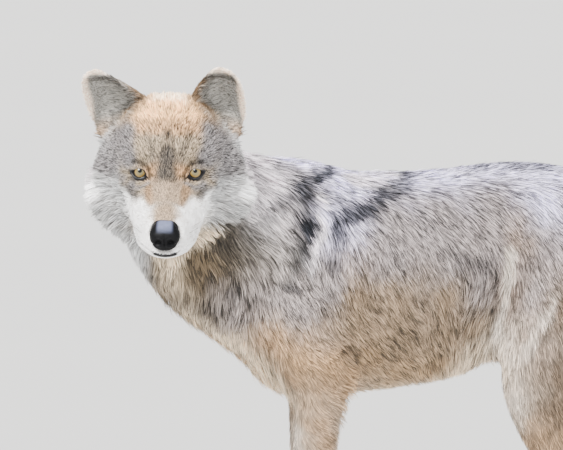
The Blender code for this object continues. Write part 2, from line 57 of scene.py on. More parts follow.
HEAD_YAW, HEAD_PITCH = math.radians(53.2), math.radians(18)
EYEBALL_RADIUS = 0.0132
EYE_BEHIND = 0.009                     # how far the eyeball's centre lies behind the plane of the pupils
LOOK = Vector((-0.031, 0.927, 0.375)).normalized()      # the way both eyes look, in head axes
BODY_EYES = Vector((-0.310, -0.132, 0.724))             # the point between the pupils, in body axes
FORE_STEP, HIND_STEP = 0.074, 0.130    # how far the right legs stand behind the left ones
HIND_FROM = 0.25                       # from here back, in body axes, a place belongs to the hind legs


def head_frame():
    """Head axes: X to the wolf's right, Y forward along the muzzle, Z up through the crown."""
    level = Vector((-math.cos(HEAD_YAW), -math.sin(HEAD_YAW), 0))
    forward = level * math.cos(HEAD_PITCH) - Vector((0, 0, math.sin(HEAD_PITCH)))
    side = level.cross(Vector((0, 0, 1)))
    turn = Matrix((side, forward, side.cross(forward))).transposed().to_4x4()
    corners = [corner for node in ("eye_left", "eye_right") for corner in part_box(node)]
    middle = sum(corners, Vector()) / 4 + turn.to_3x3() @ Vector((0, EYE_BEHIND, 0))
    return Matrix.Translation(middle) @ turn


HEAD = head_frame()
BODY = Matrix.Translation(HEAD.translation - BODY_EYES)
HEAD_OUT, HEAD_IN = np.array(HEAD), np.array(HEAD.inverted())


def turned(points, matrix, about_origin=False):
    """Points moved by a 4 x 4 matrix, or directions turned by it."""
    return points @ matrix[:3, :3].T + (0 if about_origin else matrix[:3, 3])


def step(values, start, end):
    """0 at start and below, 1 at end and above, with a soft change between them."""
    t = np.clip((values - start) / (end - start), 0, 1)
    return t * t * (3 - 2 * t)


def unit(rows):
    """Rows made one long."""
    return rows / np.maximum(np.linalg.norm(rows, axis=-1, keepdims=True), 1e-12)


def head_way(x, y, z):
    """A direction in head axes, turned into the world's."""
    return HEAD.to_3x3() @ Vector((x, y, z))


def body_home(points):
    """Places in body axes on the left side.

    The right side is mirrored, and its legs are moved under the left ones.
    """
    p = points - np.array(BODY.translation)
    right = p[:, 1] > 0
    fore = FORE_STEP * step(-p[:, 2], -0.46, -0.36)
    hind = HIND_STEP * step(-p[:, 2], -0.56, -0.25)
    p[:, 0] -= np.where(right, np.where(p[:, 0] > HIND_FROM, hind, fore), 0)
    p[:, 1] = -np.abs(p[:, 1])
    return p


def head_home(points):
    """Places in head axes on the wolf's right side: the left side is mirrored."""
    p = turned(points, HEAD_IN)
    p[:, 0] = np.abs(p[:, 0])
    return p


def mottle(points, size, seed):
    """A smooth wavering value from about -1 to 1, with patches of the given size."""
    waves = np.random.default_rng(seed)
    total = np.zeros(len(points))
    for scale, weight in ((1, 0.55), (2.1, 0.3), (4.3, 0.2)):
        for _ in range(5):
            way = unit(waves.normal(size=3)) * scale * 2 * math.pi / size
            total += weight * np.sin(points @ way + waves.uniform(0, 6.28)) / 1.6
    return total


# ---------------------------------------------------------------- the lie of the coat

# coat: depth and length in mm, lift in degrees, how strongly tufts gather
COATS = {
    "pad": (1.0, 2.8, 15, 0.1),
    "muzzle": (1.3, 5.0, 16, 0.15),
    "face": (2.2, 7.0, 15, 0.25),
    "forehead": (3.2, 11, 14, 0.35),
    "crown": (6.0, 22, 34, 0.65),
    "cheek": (7.0, 23, 16, 0.65),
    "ruff": (12, 38, 21, 0.75),
    "mane": (12, 35, 16, 0.5),
    "throat": (12, 38, 18, 0.65),
    "fringe": (9, 38, 26, 0.6),
    "back": (8, 25, 15, 0.4),
    "side": (6.5, 22, 13, 0.35),
    "flank": (6.5, 27, 11, 0.45),
    "belly": (8, 30, 18, 0.6),
    "arm": (4.5, 15, 12, 0.25),
    "elbow": (6, 27, 24, 0.6),
    "shin": (3.0, 9.5, 14, 0.15),
    "foot": (2.2, 6.0, 15, 0.1),
    "thigh": (5.5, 18, 12, 0.3),
    "breech": (10, 36, 16, 0.5),
    "brush": (15, 52, 15, 0.5),
}

# coat, place in body axes on the left side, and the way that the hair lies
BODY_LIE = [
    ("mane", -0.119, -0.092, 0.690, 0.75, -0.1, -0.65), ("mane", -0.138, -0.102, 0.641, 0.1, 0, -1),
    ("mane", -0.171, -0.087, 0.578, -0.15, 0, -1), ("mane", -0.138, -0.090, 0.569, 0.1, 0, -1),
    ("mane", -0.069, -0.022, 0.742, 0.9, -0.2, -0.3), ("mane", -0.076, -0.101, 0.653, 0.5, 0, -0.85),
    ("mane", -0.063, -0.107, 0.603, 0.3, 0, -0.95), ("mane", -0.150, 0.0, 0.765, 0.95, 0, -0.3),
    ("side", -0.091, -0.098, 0.546, 0.3, 0, -0.9), ("side", -0.063, -0.108, 0.517, 0.6, 0, -0.8),
    ("fringe", -0.151, -0.058, 0.518, 0, 0, -1), ("fringe", -0.120, -0.027, 0.472, -0.12, 0, -1),
    ("fringe", -0.181, -0.019, 0.502, -0.1, 0, -1), ("fringe", -0.065, -0.022, 0.426, -0.05, 0, -1),
    ("fringe", -0.032, -0.013, 0.396, 0.1, 0, -1), ("side", -0.076, -0.100, 0.489, 0.6, 0, -0.8),
    ("back", 0.033, -0.020, 0.728, 0.95, -0.1, -0.2), ("back", 0.019, -0.077, 0.691, 0.75, -0.1, -0.6),
    ("back", -0.011, -0.108, 0.622, 0.05, 0, -1), ("back", 0.061, -0.093, 0.662, 0.5, 0, -0.85),
    ("back", 0.110, -0.072, 0.680, 0.75, -0.1, -0.6), ("back", 0.165, -0.031, 0.701, 0.9, -0.1, -0.35),
    ("back", 0.237, -0.010, 0.708, 1, 0, -0.15), ("back", 0.314, -0.010, 0.710, 1, 0, -0.1),
    ("back", 0.382, -0.010, 0.710, 1, 0, -0.1), ("back", 0.450, -0.010, 0.708, 1, 0, -0.15),
    ("side", 0.117, -0.100, 0.638, 0.5, 0, -0.87), ("side", 0.207, -0.095, 0.634, 0.6, 0, -0.8),
    ("side", 0.297, -0.091, 0.631, 0.65, 0, -0.76), ("side", 0.384, -0.091, 0.627, 0.6, 0, -0.8),
    ("side", 0.107, -0.113, 0.582, 0.42, 0, -0.9), ("side", 0.199, -0.107, 0.578, 0.5, 0, -0.87),
    ("side", 0.291, -0.100, 0.574, 0.4, 0, -0.9), ("flank", 0.037, -0.114, 0.556, 0.35, 0, -0.92),
    ("flank", 0.108, -0.112, 0.539, 0.55, 0, -0.83), ("flank", 0.202, -0.103, 0.521, 0.45, 0, -0.9),
    ("flank", 0.258, -0.097, 0.518, -0.4, 0, -0.9), ("flank", 0.300, -0.090, 0.545, -0.5, 0, -0.85),
    ("flank", 0.044, -0.104, 0.498, 0.7, 0, -0.7), ("flank", 0.118, -0.098, 0.481, 0.75, 0, -0.66),
    ("flank", 0.212, -0.089, 0.476, 0.6, 0, -0.8), ("flank", 0.269, -0.081, 0.474, 0, 0, -1),
    ("belly", 0.079, -0.079, 0.438, 0.8, 0, -0.6), ("belly", 0.148, -0.055, 0.413, 0.8, 0, -0.55),
    ("belly", 0.201, -0.055, 0.418, 0.6, 0, -0.8), ("belly", 0.250, -0.059, 0.430, 0.3, 0, -0.95),
    ("belly", 0.303, -0.058, 0.442, 0.1, 0, -1), ("belly", 0.10, 0, 0.385, 0.9, 0, -0.4),
    ("belly", 0.25, 0, 0.400, 0.8, 0, -0.6), ("thigh", 0.330, -0.094, 0.615, 0.5, 0, -0.85),
    ("thigh", 0.364, -0.095, 0.557, 0.35, 0, -0.93), ("thigh", 0.391, -0.107, 0.513, 0.4, 0, -0.9),
    ("thigh", 0.325, -0.089, 0.515, 0, 0, -1), ("thigh", 0.324, -0.078, 0.457, -0.25, 0, -1),
    ("thigh", 0.344, -0.098, 0.443, 0.1, 0, -1), ("thigh", 0.372, -0.109, 0.399, 0.4, 0, -0.9),
    ("arm", 0.340, -0.092, 0.371, 0.25, 0, -0.95), ("arm", 0.364, -0.095, 0.327, 0.45, 0, -0.87),
    ("thigh", 0.450, -0.110, 0.520, 0.3, 0, -0.95), ("thigh", 0.470, -0.095, 0.600, 0.5, 0, -0.85),
    ("breech", 0.545, -0.060, 0.620, 0.4, 0, -0.9), ("breech", 0.560, -0.070, 0.520, 0.2, 0, -1),
    ("breech", 0.510, -0.080, 0.430, 0.1, 0, -1), ("arm", 0.430, -0.090, 0.340, 0.5, 0, -0.85),
    ("arm", 0.460, -0.068, 0.280, 0.5, 0, -0.85), ("shin", 0.470, -0.068, 0.225, 0.4, 0, -0.9),
    ("shin", 0.492, -0.068, 0.160, 0, 0, -1), ("shin", 0.486, -0.068, 0.090, -0.1, 0, -1),
    ("arm", -0.042, -0.103, 0.430, 0.75, 0, -0.66), ("arm", -0.008, -0.103, 0.414, 0.85, -0.1, -0.5),
    ("elbow", 0.046, -0.090, 0.408, 0.95, -0.25, -0.35), ("elbow", 0.040, -0.080, 0.378, 0.8, 0, -0.6),
    ("arm", -0.029, -0.084, 0.343, 0.8, 0, -0.6), ("arm", 0.009, -0.091, 0.320, 0.85, 0, -0.5),
    ("arm", 0.034, -0.060, 0.330, 0.6, 0, -0.8), ("arm", -0.045, -0.060, 0.390, 0.3, 0, -0.95),
    ("shin", -0.005, -0.060, 0.270, 0.6, 0, -0.8), ("shin", -0.005, -0.060, 0.210, 0.35, 0, -0.95),
    ("shin", -0.006, -0.060, 0.150, 0.15, 0, -1), ("shin", -0.006, -0.060, 0.090, 0, 0, -1),
    ("foot", -0.035, -0.060, 0.050, -0.85, 0, -0.5), ("foot", -0.060, -0.060, 0.028, -1, 0, -0.3),
    ("foot", 0.455, -0.068, 0.050, -0.85, 0, -0.5), ("foot", 0.430, -0.068, 0.028, -1, 0, -0.3),
    ("brush", 0.600, 0, 0.634, 0.75, 0, -0.65), ("brush", 0.650, 0, 0.575, 0.45, 0, -0.9),
    ("brush", 0.688, 0, 0.465, 0.2, 0, -1), ("brush", 0.715, 0, 0.330, 0.15, 0, -1),
]

# coat, place in head axes on the right side, and the way that the hair lies
HEAD_LIE = [
    ("pad", 0, 0.112, -0.028, 0, -1, 0.2), ("muzzle", 0, 0.087, -0.021, 0, -1, 0.1),
    ("muzzle", 0.010, 0.050, -0.013, 0.05, -1, 0.3), ("muzzle", 0.025, 0.049, -0.021, 0.25, -1, 0.1),
    ("muzzle", 0.038, 0.080, -0.047, 0.2, -1, -0.15), ("pad", 0.026, 0.116, -0.056, 0.3, -1, 0),
    ("muzzle", 0.047, 0.029, -0.037, 0.3, -1, -0.2), ("pad", 0.042, 0.078, -0.071, 0.2, -1, -0.3),
    ("pad", 0, 0.112, -0.086, 0, -1, -0.3), ("muzzle", 0, 0.080, -0.094, 0, -1, -0.2),
    ("face", 0.003, 0.007, 0.016, 0, -0.6, 0.8), ("face", 0.023, 0.013, 0.003, 0.1, -0.5, 0.9),
    ("forehead", 0, -0.009, 0.037, 0, -0.6, 0.8), ("forehead", 0.010, -0.029, 0.055, 0.15, -0.7, 0.7),
    ("forehead", 0.030, -0.038, 0.058, 0.35, -0.8, 0.5), ("crown", 0.006, -0.066, 0.076, 0, -0.8, 0.6),
    ("crown", 0.012, -0.092, 0.082, 0, -1, 0.4), ("crown", 0.045, -0.090, 0.074, 0.3, -1, 0.3),
    ("face", 0.048, -0.009, 0.017, 0.5, -0.5, 0.7), ("face", 0.026, 0.001, 0.018, 0.2, -0.4, 0.9),
    ("face", 0.058, -0.016, 0.012, 0.85, -0.6, 0.3), ("forehead", 0.078, -0.062, 0.026, 0.75, -0.6, 0.15),
    ("forehead", 0.060, -0.040, 0.040, 0.6, -0.7, 0.4), ("forehead", 0.100, -0.070, 0, 0.8, -0.6, -0.1),
    ("forehead", 0.085, -0.047, -0.006, 0.85, -0.5, -0.1),
    ("cheek", 0.092, -0.045, -0.021, 0.85, -0.5, -0.15),
    ("face", 0.049, 0.014, -0.023, 0.7, -0.7, -0.2), ("face", 0.039, 0.009, -0.012, 0.5, -0.8, -0.3),
    ("face", 0.030, 0.022, -0.014, 0.2, -0.9, -0.1), ("face", 0.062, -0.006, -0.010, 0.8, -0.6, -0.1),
    ("cheek", 0.066, -0.005, -0.043, 0.75, -0.6, -0.3), ("cheek", 0.070, -0.014, -0.054, 0.75, -0.5, -0.45),
    ("ruff", 0.078, -0.026, -0.082, 0.6, -0.4, -0.7), ("ruff", 0.057, -0.032, -0.116, 0.35, -0.4, -0.85),
    ("cheek", 0.085, -0.031, -0.038, 0.9, -0.4, -0.25), ("ruff", 0.114, -0.061, -0.050, 0.9, -0.3, -0.3),
    ("ruff", 0.102, -0.045, -0.060, 0.85, -0.3, -0.45), ("ruff", 0.105, -0.085, -0.030, 0.75, -0.65, -0.15),
    ("ruff", 0.110, -0.080, -0.090, 0.7, -0.3, -0.7), ("mane", 0.100, -0.110, 0.010, 0.5, -0.85, -0.2),
    ("mane", 0.090, -0.130, -0.060, 0.4, -0.7, -0.5), ("mane", 0.050, -0.140, 0.050, 0.2, -1, -0.1),
    ("mane", 0, -0.145, 0.060, 0, -1, -0.1), ("cheek", 0.048, 0.010, -0.080, 0.4, -0.9, -0.4),
    ("face", 0.020, 0.040, -0.097, 0.1, -1, -0.2), ("cheek", 0, 0.005, -0.103, 0, -0.8, -0.5),
    ("throat", 0.014, -0.034, -0.150, 0.1, -0.3, -0.95),
    ("throat", 0.040, -0.045, -0.150, 0.2, -0.2, -0.95),
    ("throat", 0.016, -0.069, -0.207, 0, 0.1, -1), ("mane", 0.078, -0.058, -0.125, 0.35, -0.1, -0.9),
]


BATCH = 40000                          # how many places are worked out at once, to spare memory


class Guides:
    """Values known at scattered places, blended between them by distance."""

    def __init__(self, places, values):
        self.places, self.values = np.array(places, float), np.array(values, float)

    def at(self, points, power=2.5, softness=0.010):
        """The blended values: a higher power makes sharper borders, a larger softness blunter ones."""
        blended = np.empty((len(points), self.values.shape[1]))
        for start in range(0, len(points), BATCH):
            part = points[start:start + BATCH]
            apart = ((part[:, None] - self.places) ** 2).sum(2) + softness ** 2
            weight = apart ** -power
            blended[start:start + BATCH] = (weight @ self.values) / weight.sum(1)[:, None]
        return blended


def lie_guides(rows):
    places = [row[1:4] for row in rows]
    return Guides(places, [[*unit(np.array(row[4:7])), *COATS[row[0]]] for row in rows])


BODY_GUIDES, HEAD_GUIDES = lie_guides(BODY_LIE), lie_guides(HEAD_LIE)


def head_share(points):
    """1 on the head and its ruff, 0 on the neck behind them."""
    p = turned(points, HEAD_IN)
    return step(p[:, 1], -0.150, -0.095) * step(p[:, 2], -0.235, -0.150)


def coat_at(points):
    """The lie, as world vectors, and the coat's depth, length, lift and gathering there.

    Lengths are in metres and the lift is in radians.
    """
    body, head = BODY_GUIDES.at(body_home(points)), HEAD_GUIDES.at(head_home(points))
    right = (points[:, 1] - BODY.translation.y) > 0
    body[right, 1] *= -1
    head[turned(points, HEAD_IN)[:, 0] < 0, 0] *= -1
    head[:, :3] = turned(head[:, :3], HEAD_OUT, True)
    share = head_share(points)[:, None]
    both = body * (1 - share) + head * share
    return unit(both[:, :3]), both[:, 3] / 1000, both[:, 4] / 1000, np.radians(both[:, 5]), both[:, 6]


# ---------------------------------------------------------------- the markings of the coat

# colour of the light hairs, colour of the dark hairs (in 0-255 as seen), share of dark hairs
HUES = {
    "white": ((250, 250, 250), (216, 213, 210), 0.24),
    "cheek": ((219, 219, 219), (150, 146, 143), 0.33),
    "cream": ((230, 225, 215), (176, 165, 148), 0.34),
    "bridge": ((218, 207, 190), (146, 131, 112), 0.44),
    "tan": ((214, 193, 156), (138, 116, 84), 0.46),
    "brow": ((214, 205, 188), (66, 59, 51), 0.47),
    "speckle": ((168, 157, 144), (36, 31, 27), 0.60),
    "pepper": ((202, 199, 199), (66, 63, 63), 0.48),
    "warm": ((226, 210, 180), (100, 83, 60), 0.45),
    "crown": ((250, 237, 206), (184, 160, 118), 0.36),
    "crown_tip": ((250, 246, 238), (220, 206, 182), 0.35),
    "ear_back": ((200, 180, 150), (124, 102, 76), 0.46),
    "ear_rim": ((250, 247, 243), (214, 206, 196), 0.30),
    "ear_hair": ((214, 213, 210), (136, 133, 128), 0.36),
    # painted shade for the hollow at the root of the ear's cup
    "ear_hollow_shade": ((124, 98, 72), (34, 27, 22), 0.56),
    "ear_tip": ((140, 128, 116), (60, 53, 48), 0.50),
    "collar": ((134, 121, 103), (54, 47, 38), 0.53),
    "ochre": ((180, 162, 130), (84, 70, 50), 0.48),
    "ruff": ((229, 227, 228), (151, 147, 147), 0.34),
    "mane": ((219, 216, 218), (118, 115, 116), 0.42),
    "slate": ((112, 117, 132), (24, 27, 35), 0.60),
    "silver": ((234, 233, 239), (98, 98, 106), 0.38),
    "grey": ((213, 208, 207), (98, 94, 93), 0.45),
    "flank": ((208, 193, 168), (114, 99, 78), 0.44),
    "belly": ((212, 195, 162), (130, 110, 84), 0.42),
    "arm": ((220, 203, 170), (160, 138, 106), 0.40),
    "leg": ((215, 197, 165), (156, 133, 102), 0.42),
    "leg_white": ((228, 225, 221), (184, 177, 169), 0.32),
    "thigh": ((213, 201, 189), (124, 111, 98), 0.45),
    "rump": ((186, 166, 141), (100, 83, 64), 0.48),
    # dark brown, laid as thin lines on the face and as painted shade above the elbow and in the flank's fold
    "shade": ((62, 52, 44), (18, 15, 13), 0.60),
    "black": ((34, 32, 34), (10, 10, 12), 0.60),
    "brush": ((176, 168, 162), (64, 58, 55), 0.50),
}

# hue, and place in body axes on the left side
BODY_HUES = [
    ("ruff", -0.119, -0.092, 0.690), ("ruff", -0.138, -0.102, 0.655), ("ruff", -0.080, -0.022, 0.742),
    ("ruff", -0.090, -0.085, 0.705), ("mane", -0.050, -0.060, 0.715), ("ruff", -0.105, -0.096, 0.660),
    ("grey", -0.076, -0.101, 0.640), ("grey", -0.100, -0.098, 0.600),
    ("collar", -0.171, -0.087, 0.590), ("grey", -0.138, -0.090, 0.569), ("grey", -0.160, -0.075, 0.545),
    ("grey", -0.091, -0.098, 0.546), ("grey", -0.063, -0.108, 0.517), ("ochre", -0.215, -0.060, 0.555),
    ("collar", -0.185, -0.050, 0.520), ("cream", -0.195, -0.015, 0.500), ("cream", -0.130, -0.010, 0.470),
    ("grey", -0.145, -0.062, 0.505), ("arm", -0.100, -0.085, 0.470), ("cream", -0.065, -0.018, 0.420),
    ("cream", -0.032, -0.013, 0.390), ("silver", -0.020, -0.020, 0.742), ("silver", 0.045, -0.060, 0.700),
    ("silver", 0.100, -0.020, 0.712), ("silver", 0.165, -0.031, 0.705), ("silver", 0.237, -0.030, 0.704),
    ("silver", 0.330, -0.010, 0.712), ("silver", 0.420, -0.020, 0.708), ("silver", 0.490, -0.020, 0.695),
    ("grey", 0.117, -0.100, 0.640), ("grey", 0.207, -0.095, 0.640), ("grey", 0.297, -0.091, 0.640),
    ("silver", 0.384, -0.085, 0.650), ("silver", 0.000, -0.105, 0.640), ("grey", 0.107, -0.113, 0.590),
    ("grey", 0.199, -0.107, 0.590), ("grey", 0.291, -0.100, 0.584), ("grey", -0.020, -0.113, 0.555),
    ("flank", 0.037, -0.114, 0.530), ("flank", 0.108, -0.112, 0.520), ("flank", 0.202, -0.103, 0.515),
    ("grey", 0.265, -0.097, 0.535), ("flank", 0.044, -0.104, 0.490), ("flank", 0.118, -0.098, 0.470),
    ("flank", 0.212, -0.089, 0.470), ("flank", 0.269, -0.081, 0.474), ("belly", 0.079, -0.079, 0.438),
    ("belly", 0.148, -0.055, 0.413), ("belly", 0.210, -0.055, 0.418), ("cream", 0.290, -0.055, 0.435),
    ("cream", 0.15, 0, 0.385), ("cream", 0.27, 0, 0.400), ("thigh", 0.330, -0.094, 0.600),
    ("grey", 0.370, -0.098, 0.610), ("thigh", 0.322, -0.089, 0.525), ("leg_white", 0.312, -0.075, 0.440),
    ("grey", 0.355, -0.098, 0.525), ("thigh", 0.350, -0.100, 0.440), ("rump", 0.400, -0.110, 0.500),
    ("rump", 0.395, -0.109, 0.400), ("rump", 0.385, -0.105, 0.350), ("rump", 0.450, -0.110, 0.520),
    ("grey", 0.470, -0.095, 0.620),
    ("thigh", 0.545, -0.060, 0.600), ("cream", 0.560, -0.060, 0.510), ("leg", 0.500, -0.085, 0.430),
    ("leg_white", 0.325, -0.070, 0.350), ("leg", 0.364, -0.095, 0.310), ("leg", 0.430, -0.090, 0.320),
    ("leg", 0.470, -0.075, 0.225), ("leg", 0.492, -0.075, 0.150), ("leg_white", 0.480, -0.040, 0.150),
    ("leg_white", 0.420, -0.030, 0.400), ("leg_white", 0.450, -0.068, 0.040), ("arm", -0.060, -0.102, 0.440),
    ("arm", -0.008, -0.103, 0.430), ("arm", 0.046, -0.085, 0.405), ("leg", -0.025, -0.090, 0.350),
    ("leg", 0.005, -0.091, 0.320), ("leg_white", 0.038, -0.060, 0.330), ("leg_white", -0.040, -0.040, 0.330),
    ("leg_white", 0, -0.020, 0.330), ("leg", -0.005, -0.085, 0.220), ("leg_white", 0.000, -0.035, 0.200),
    ("leg", -0.010, -0.085, 0.140), ("arm", -0.020, -0.075, 0.080), ("leg_white", -0.050, -0.060, 0.030),
    ("brush", 0.600, 0, 0.640), ("brush", 0.670, 0, 0.520), ("brush", 0.700, 0, 0.400),
    ("belly", 0.640, 0, 0.440), ("brush", 0.718, 0, 0.320), ("black", 0.734, 0, 0.250),
]

# hue, and place in head axes on the right side
HEAD_HUES = [
    ("pepper", 0.100, -0.070, 0), ("pepper", 0.078, -0.062, 0.026), ("pepper", 0.063, -0.030, 0.030),
    ("pepper", 0.085, -0.047, -0.006), ("pepper", 0.060, -0.045, 0.046), ("pepper", 0.092, -0.050, -0.014),
    ("pepper", 0.055, -0.016, 0.014), ("brow", 0.035, -0.020, 0.038), ("brow", 0.028, -0.002, 0.020),
    ("crown", 0.030, -0.056, 0.068), ("crown", 0.012, -0.060, 0.074), ("warm", 0.034, -0.040, 0.058),
    ("crown_tip", 0.012, -0.092, 0.082), ("crown", 0.040, -0.092, 0.076), ("brow", 0.018, -0.016, 0.043),
    ("warm", 0.016, -0.032, 0.054),
    ("speckle", 0, 0.002, 0.020), ("speckle", 0.008, 0.018, 0.008), ("warm", 0.022, 0.010, 0.006),
    ("bridge", 0, 0.040, -0.006), ("bridge", 0.012, 0.052, -0.014), ("bridge", 0, 0.085, -0.020),
    ("bridge", 0.022, 0.040, -0.018), ("bridge", 0.006, 0.104, -0.025), ("bridge", 0.028, 0.024, -0.012),
    ("white", 0.036, 0.044, -0.034), ("white", 0.034, 0.070, -0.036), ("white", 0.038, 0.080, -0.055),
    ("white", 0.020, 0.108, -0.040), ("white", 0.026, 0.112, -0.060), ("white", 0.048, 0.026, -0.050),
    ("white", 0.042, 0.060, -0.075), ("white", 0, 0.100, -0.090), ("cream", 0.015, 0.040, -0.098),
    ("brow", 0.062, -0.006, -0.008), ("pepper", 0.052, 0.010, -0.018), ("brow", 0.040, 0.014, -0.014),
    ("white", 0.060, 0.006, -0.040), ("cheek", 0.070, -0.012, -0.040), ("cheek", 0.080, -0.026, -0.030),
    ("cheek", 0.095, -0.050, -0.035), ("white", 0.112, -0.061, -0.050), ("cheek", 0.078, -0.026, -0.082),
    ("cheek", 0.100, -0.060, -0.080), ("cream", 0.057, -0.032, -0.116), ("cream", 0.020, -0.010, -0.110),
    ("cream", 0.014, -0.034, -0.150), ("ochre", 0.035, -0.045, -0.155), ("cream", 0.010, -0.070, -0.205),
    ("ruff", 0.105, -0.090, -0.030), ("cheek", 0.105, -0.085, 0.000), ("ruff", 0.110, -0.100, -0.070),
    ("mane", 0.090, -0.130, -0.020), ("crown_tip", 0.060, -0.120, 0.050), ("mane", 0, -0.150, 0.060),
    ("cheek", 0.080, -0.115, 0.030), ("collar", 0.078, -0.058, -0.128), ("collar", 0.086, -0.060, -0.112),
    ("ochre", 0.048, -0.050, -0.165), ("ochre", 0.040, -0.050, -0.180),
]

# bands: hue, strength, half width in mm, and the points that the band runs through
BODY_BANDS = [
    ("slate", 0.50, 20, (0.000, -0.080, 0.690), (-0.060, -0.100, 0.655), (-0.075, -0.105, 0.615)),
    ("slate", 0.95, 6, (0.052, -0.025, 0.716), (0.020, -0.045, 0.706), (-0.006, -0.060, 0.700)),
    ("slate", 0.70, 9, (-0.006, -0.060, 0.700), (-0.047, -0.080, 0.691), (-0.079, -0.090, 0.677),
     (-0.100, -0.095, 0.664), (-0.112, -0.098, 0.648)),
    ("slate", 0.60, 9, (-0.112, -0.098, 0.648), (-0.123, -0.098, 0.633), (-0.138, -0.095, 0.615),
     (-0.152, -0.095, 0.597)),
    ("slate", 0.75, 7, (-0.152, -0.095, 0.597), (-0.156, -0.090, 0.570), (-0.154, -0.085, 0.545)),
    ("ruff", 0.80, 10, (-0.012, -0.100, 0.675), (-0.020, -0.108, 0.637), (-0.034, -0.110, 0.608),
     (-0.044, -0.110, 0.583)),
    ("slate", 0.75, 13, (-0.042, -0.085, 0.694), (-0.040, -0.098, 0.673), (-0.036, -0.104, 0.656),
     (-0.044, -0.107, 0.634)),
    ("slate", 1.00, 12, (-0.044, -0.107, 0.634), (-0.054, -0.108, 0.617), (-0.062, -0.108, 0.600),
     (-0.070, -0.107, 0.583)),
    ("slate", 0.90, 13, (-0.070, -0.107, 0.583), (-0.080, -0.104, 0.561)),
    ("ruff", 0.80, 11, (0.064, -0.050, 0.694), (0.115, -0.040, 0.693), (0.160, -0.025, 0.700)),
    ("slate", 0.75, 11, (0.190, -0.015, 0.706), (0.153, -0.050, 0.683), (0.117, -0.070, 0.674)),
    ("slate", 0.90, 12, (0.100, -0.080, 0.670), (0.085, -0.085, 0.666), (0.062, -0.093, 0.655),
     (0.033, -0.100, 0.645), (0.010, -0.104, 0.642)),
    ("slate", 0.55, 13, (0.006, -0.106, 0.630), (0.001, -0.112, 0.600), (-0.006, -0.113, 0.575)),
    ("slate", 0.60, 7, (0.200, -0.012, 0.708), (0.300, -0.012, 0.709)),
    ("slate", 0.45, 12, (0.300, -0.015, 0.708), (0.480, -0.015, 0.700)),
    ("slate", 0.40, 14, (0.225, -0.104, 0.575), (0.275, -0.100, 0.570)),
    # painted shade above the elbow
    ("shade", 0.60, 8, (0.012, -0.105, 0.452), (0.030, -0.099, 0.460), (0.046, -0.092, 0.444)),
    # painted shadow in the fold of the flank, in front of the thigh's pale edge
    ("shade", 0.40, 7, (0.294, -0.092, 0.550), (0.296, -0.086, 0.500), (0.300, -0.078, 0.462)),
    ("leg_white", 0.95, 10, (0.316, -0.091, 0.580), (0.313, -0.090, 0.515), (0.310, -0.080, 0.462)),
    ("leg_white", 0.55, 9, (0.388, -0.107, 0.512), (0.362, -0.101, 0.468), (0.342, -0.098, 0.430)),
    ("leg_white", 0.80, 7, (-0.050, -0.062, 0.360), (-0.048, -0.050, 0.250)),
    ("black", 0.95, 22, (0.726, 0, 0.270), (0.738, 0, 0.230)),
    ("black", 0.60, 12, (0.668, 0, 0.600), (0.690, 0, 0.560)),
]

HEAD_BANDS = [
    ("speckle", 0.50, 3.5, (0.002, -0.062, 0.074), (0.004, -0.040, 0.064), (0.003, -0.020, 0.048),
     (0, -0.006, 0.034)),
    ("speckle", 0.75, 9, (0, -0.006, 0.033), (0.002, 0.006, 0.022), (0.002, 0.022, 0.006)),
    ("shade", 0.85, 2.2, (0, -0.030, 0.055), (0, -0.012, 0.041), (0, -0.002, 0.030)),
    ("speckle", 0.45, 5.5, (0.030, -0.028, 0.048), (0.022, -0.008, 0.032), (0.020, 0.006, 0.016)),
    ("speckle", 0.60, 5.5, (0.058, 0.004, -0.019), (0.050, 0.015, -0.025), (0.043, 0.019, -0.026)),
    ("shade", 0.75, 3.4, (0.024, 0.014, -0.003), (0.027, 0.004, 0.009), (0.040, -0.005, 0.015),
     (0.050, -0.010, 0.013)),
    ("pepper", 0.80, 4.0, (0.026, 0.018, -0.010), (0.040, 0.015, -0.017), (0.055, 0.003, -0.012)),
    ("tan", 0.35, 4.0, (0.062, -0.012, 0.006), (0.074, -0.018, 0.000)),
    ("tan", 0.70, 6.0, (0.027, 0.026, -0.013), (0.025, 0.042, -0.020), (0.022, 0.060, -0.024)),
    ("pepper", 0.75, 8, (0.100, -0.062, -0.012), (0.080, -0.036, -0.012), (0.064, -0.012, -0.012)),
    ("speckle", 0.45, 3, (0.010, 0.106, -0.024), (0, 0.108, -0.022)),
    ("pepper", 0.70, 4, (0, 0.121, -0.070), (0.006, 0.121, -0.070)),
]

STUDIO_LIGHT = 2.8                     # the light that falls on the coat
BRIGHTEST = 234                        # how bright the whitest paint shows in it, 0-255
RICHNESS = 0.85                        # under 1, as light passed on between hairs deepens their colour
MIDDLE_LIGHT, SLOPE = 0.2275, 1.23     # light that shows as a middle grey, and how fast it has to grow


def seen(colour):
    """The paint that shows in the studio's light as the given colour, 0-255."""
    colour = np.array(colour, float)
    colour *= min(1, BRIGHTEST / colour.max())
    light = MIDDLE_LIGHT * (colour / (255 - colour)) ** SLOPE
    return light.mean() * (light / light.mean()) ** RICHNESS / STUDIO_LIGHT


def hue_row(name):
    """A hue as one row: its light colour, its dark colour and the share of dark hairs."""
    light, dark, share = HUES[name]
    return [*seen(light), *seen(dark), share]


BODY_HUE_GUIDES = Guides([row[1:] for row in BODY_HUES], [hue_row(row[0]) for row in BODY_HUES])
HEAD_HUE_GUIDES = Guides([row[1:] for row in HEAD_HUES], [hue_row(row[0]) for row in HEAD_HUES])


def from_line(points, line, scale=(1, 1, 1)):
    """How far each point is from a line through several points, with each axis weighed by a scale."""
    nearest, line, points = np.full(len(points), 9.0), np.array(line) * scale, points * scale
    for start, end in zip(line[:-1], line[1:]):
        along = end - start
        t = np.clip((points - start) @ along / (along @ along), 0, 1)
        nearest = np.minimum(nearest, np.linalg.norm(points - start - t[:, None] * along, axis=1))
    return nearest


def laid(hues, name, share):
    """The markings, with a share of another hue laid over them."""
    return hues + share[:, None] * (np.array(hue_row(name)) - hues)


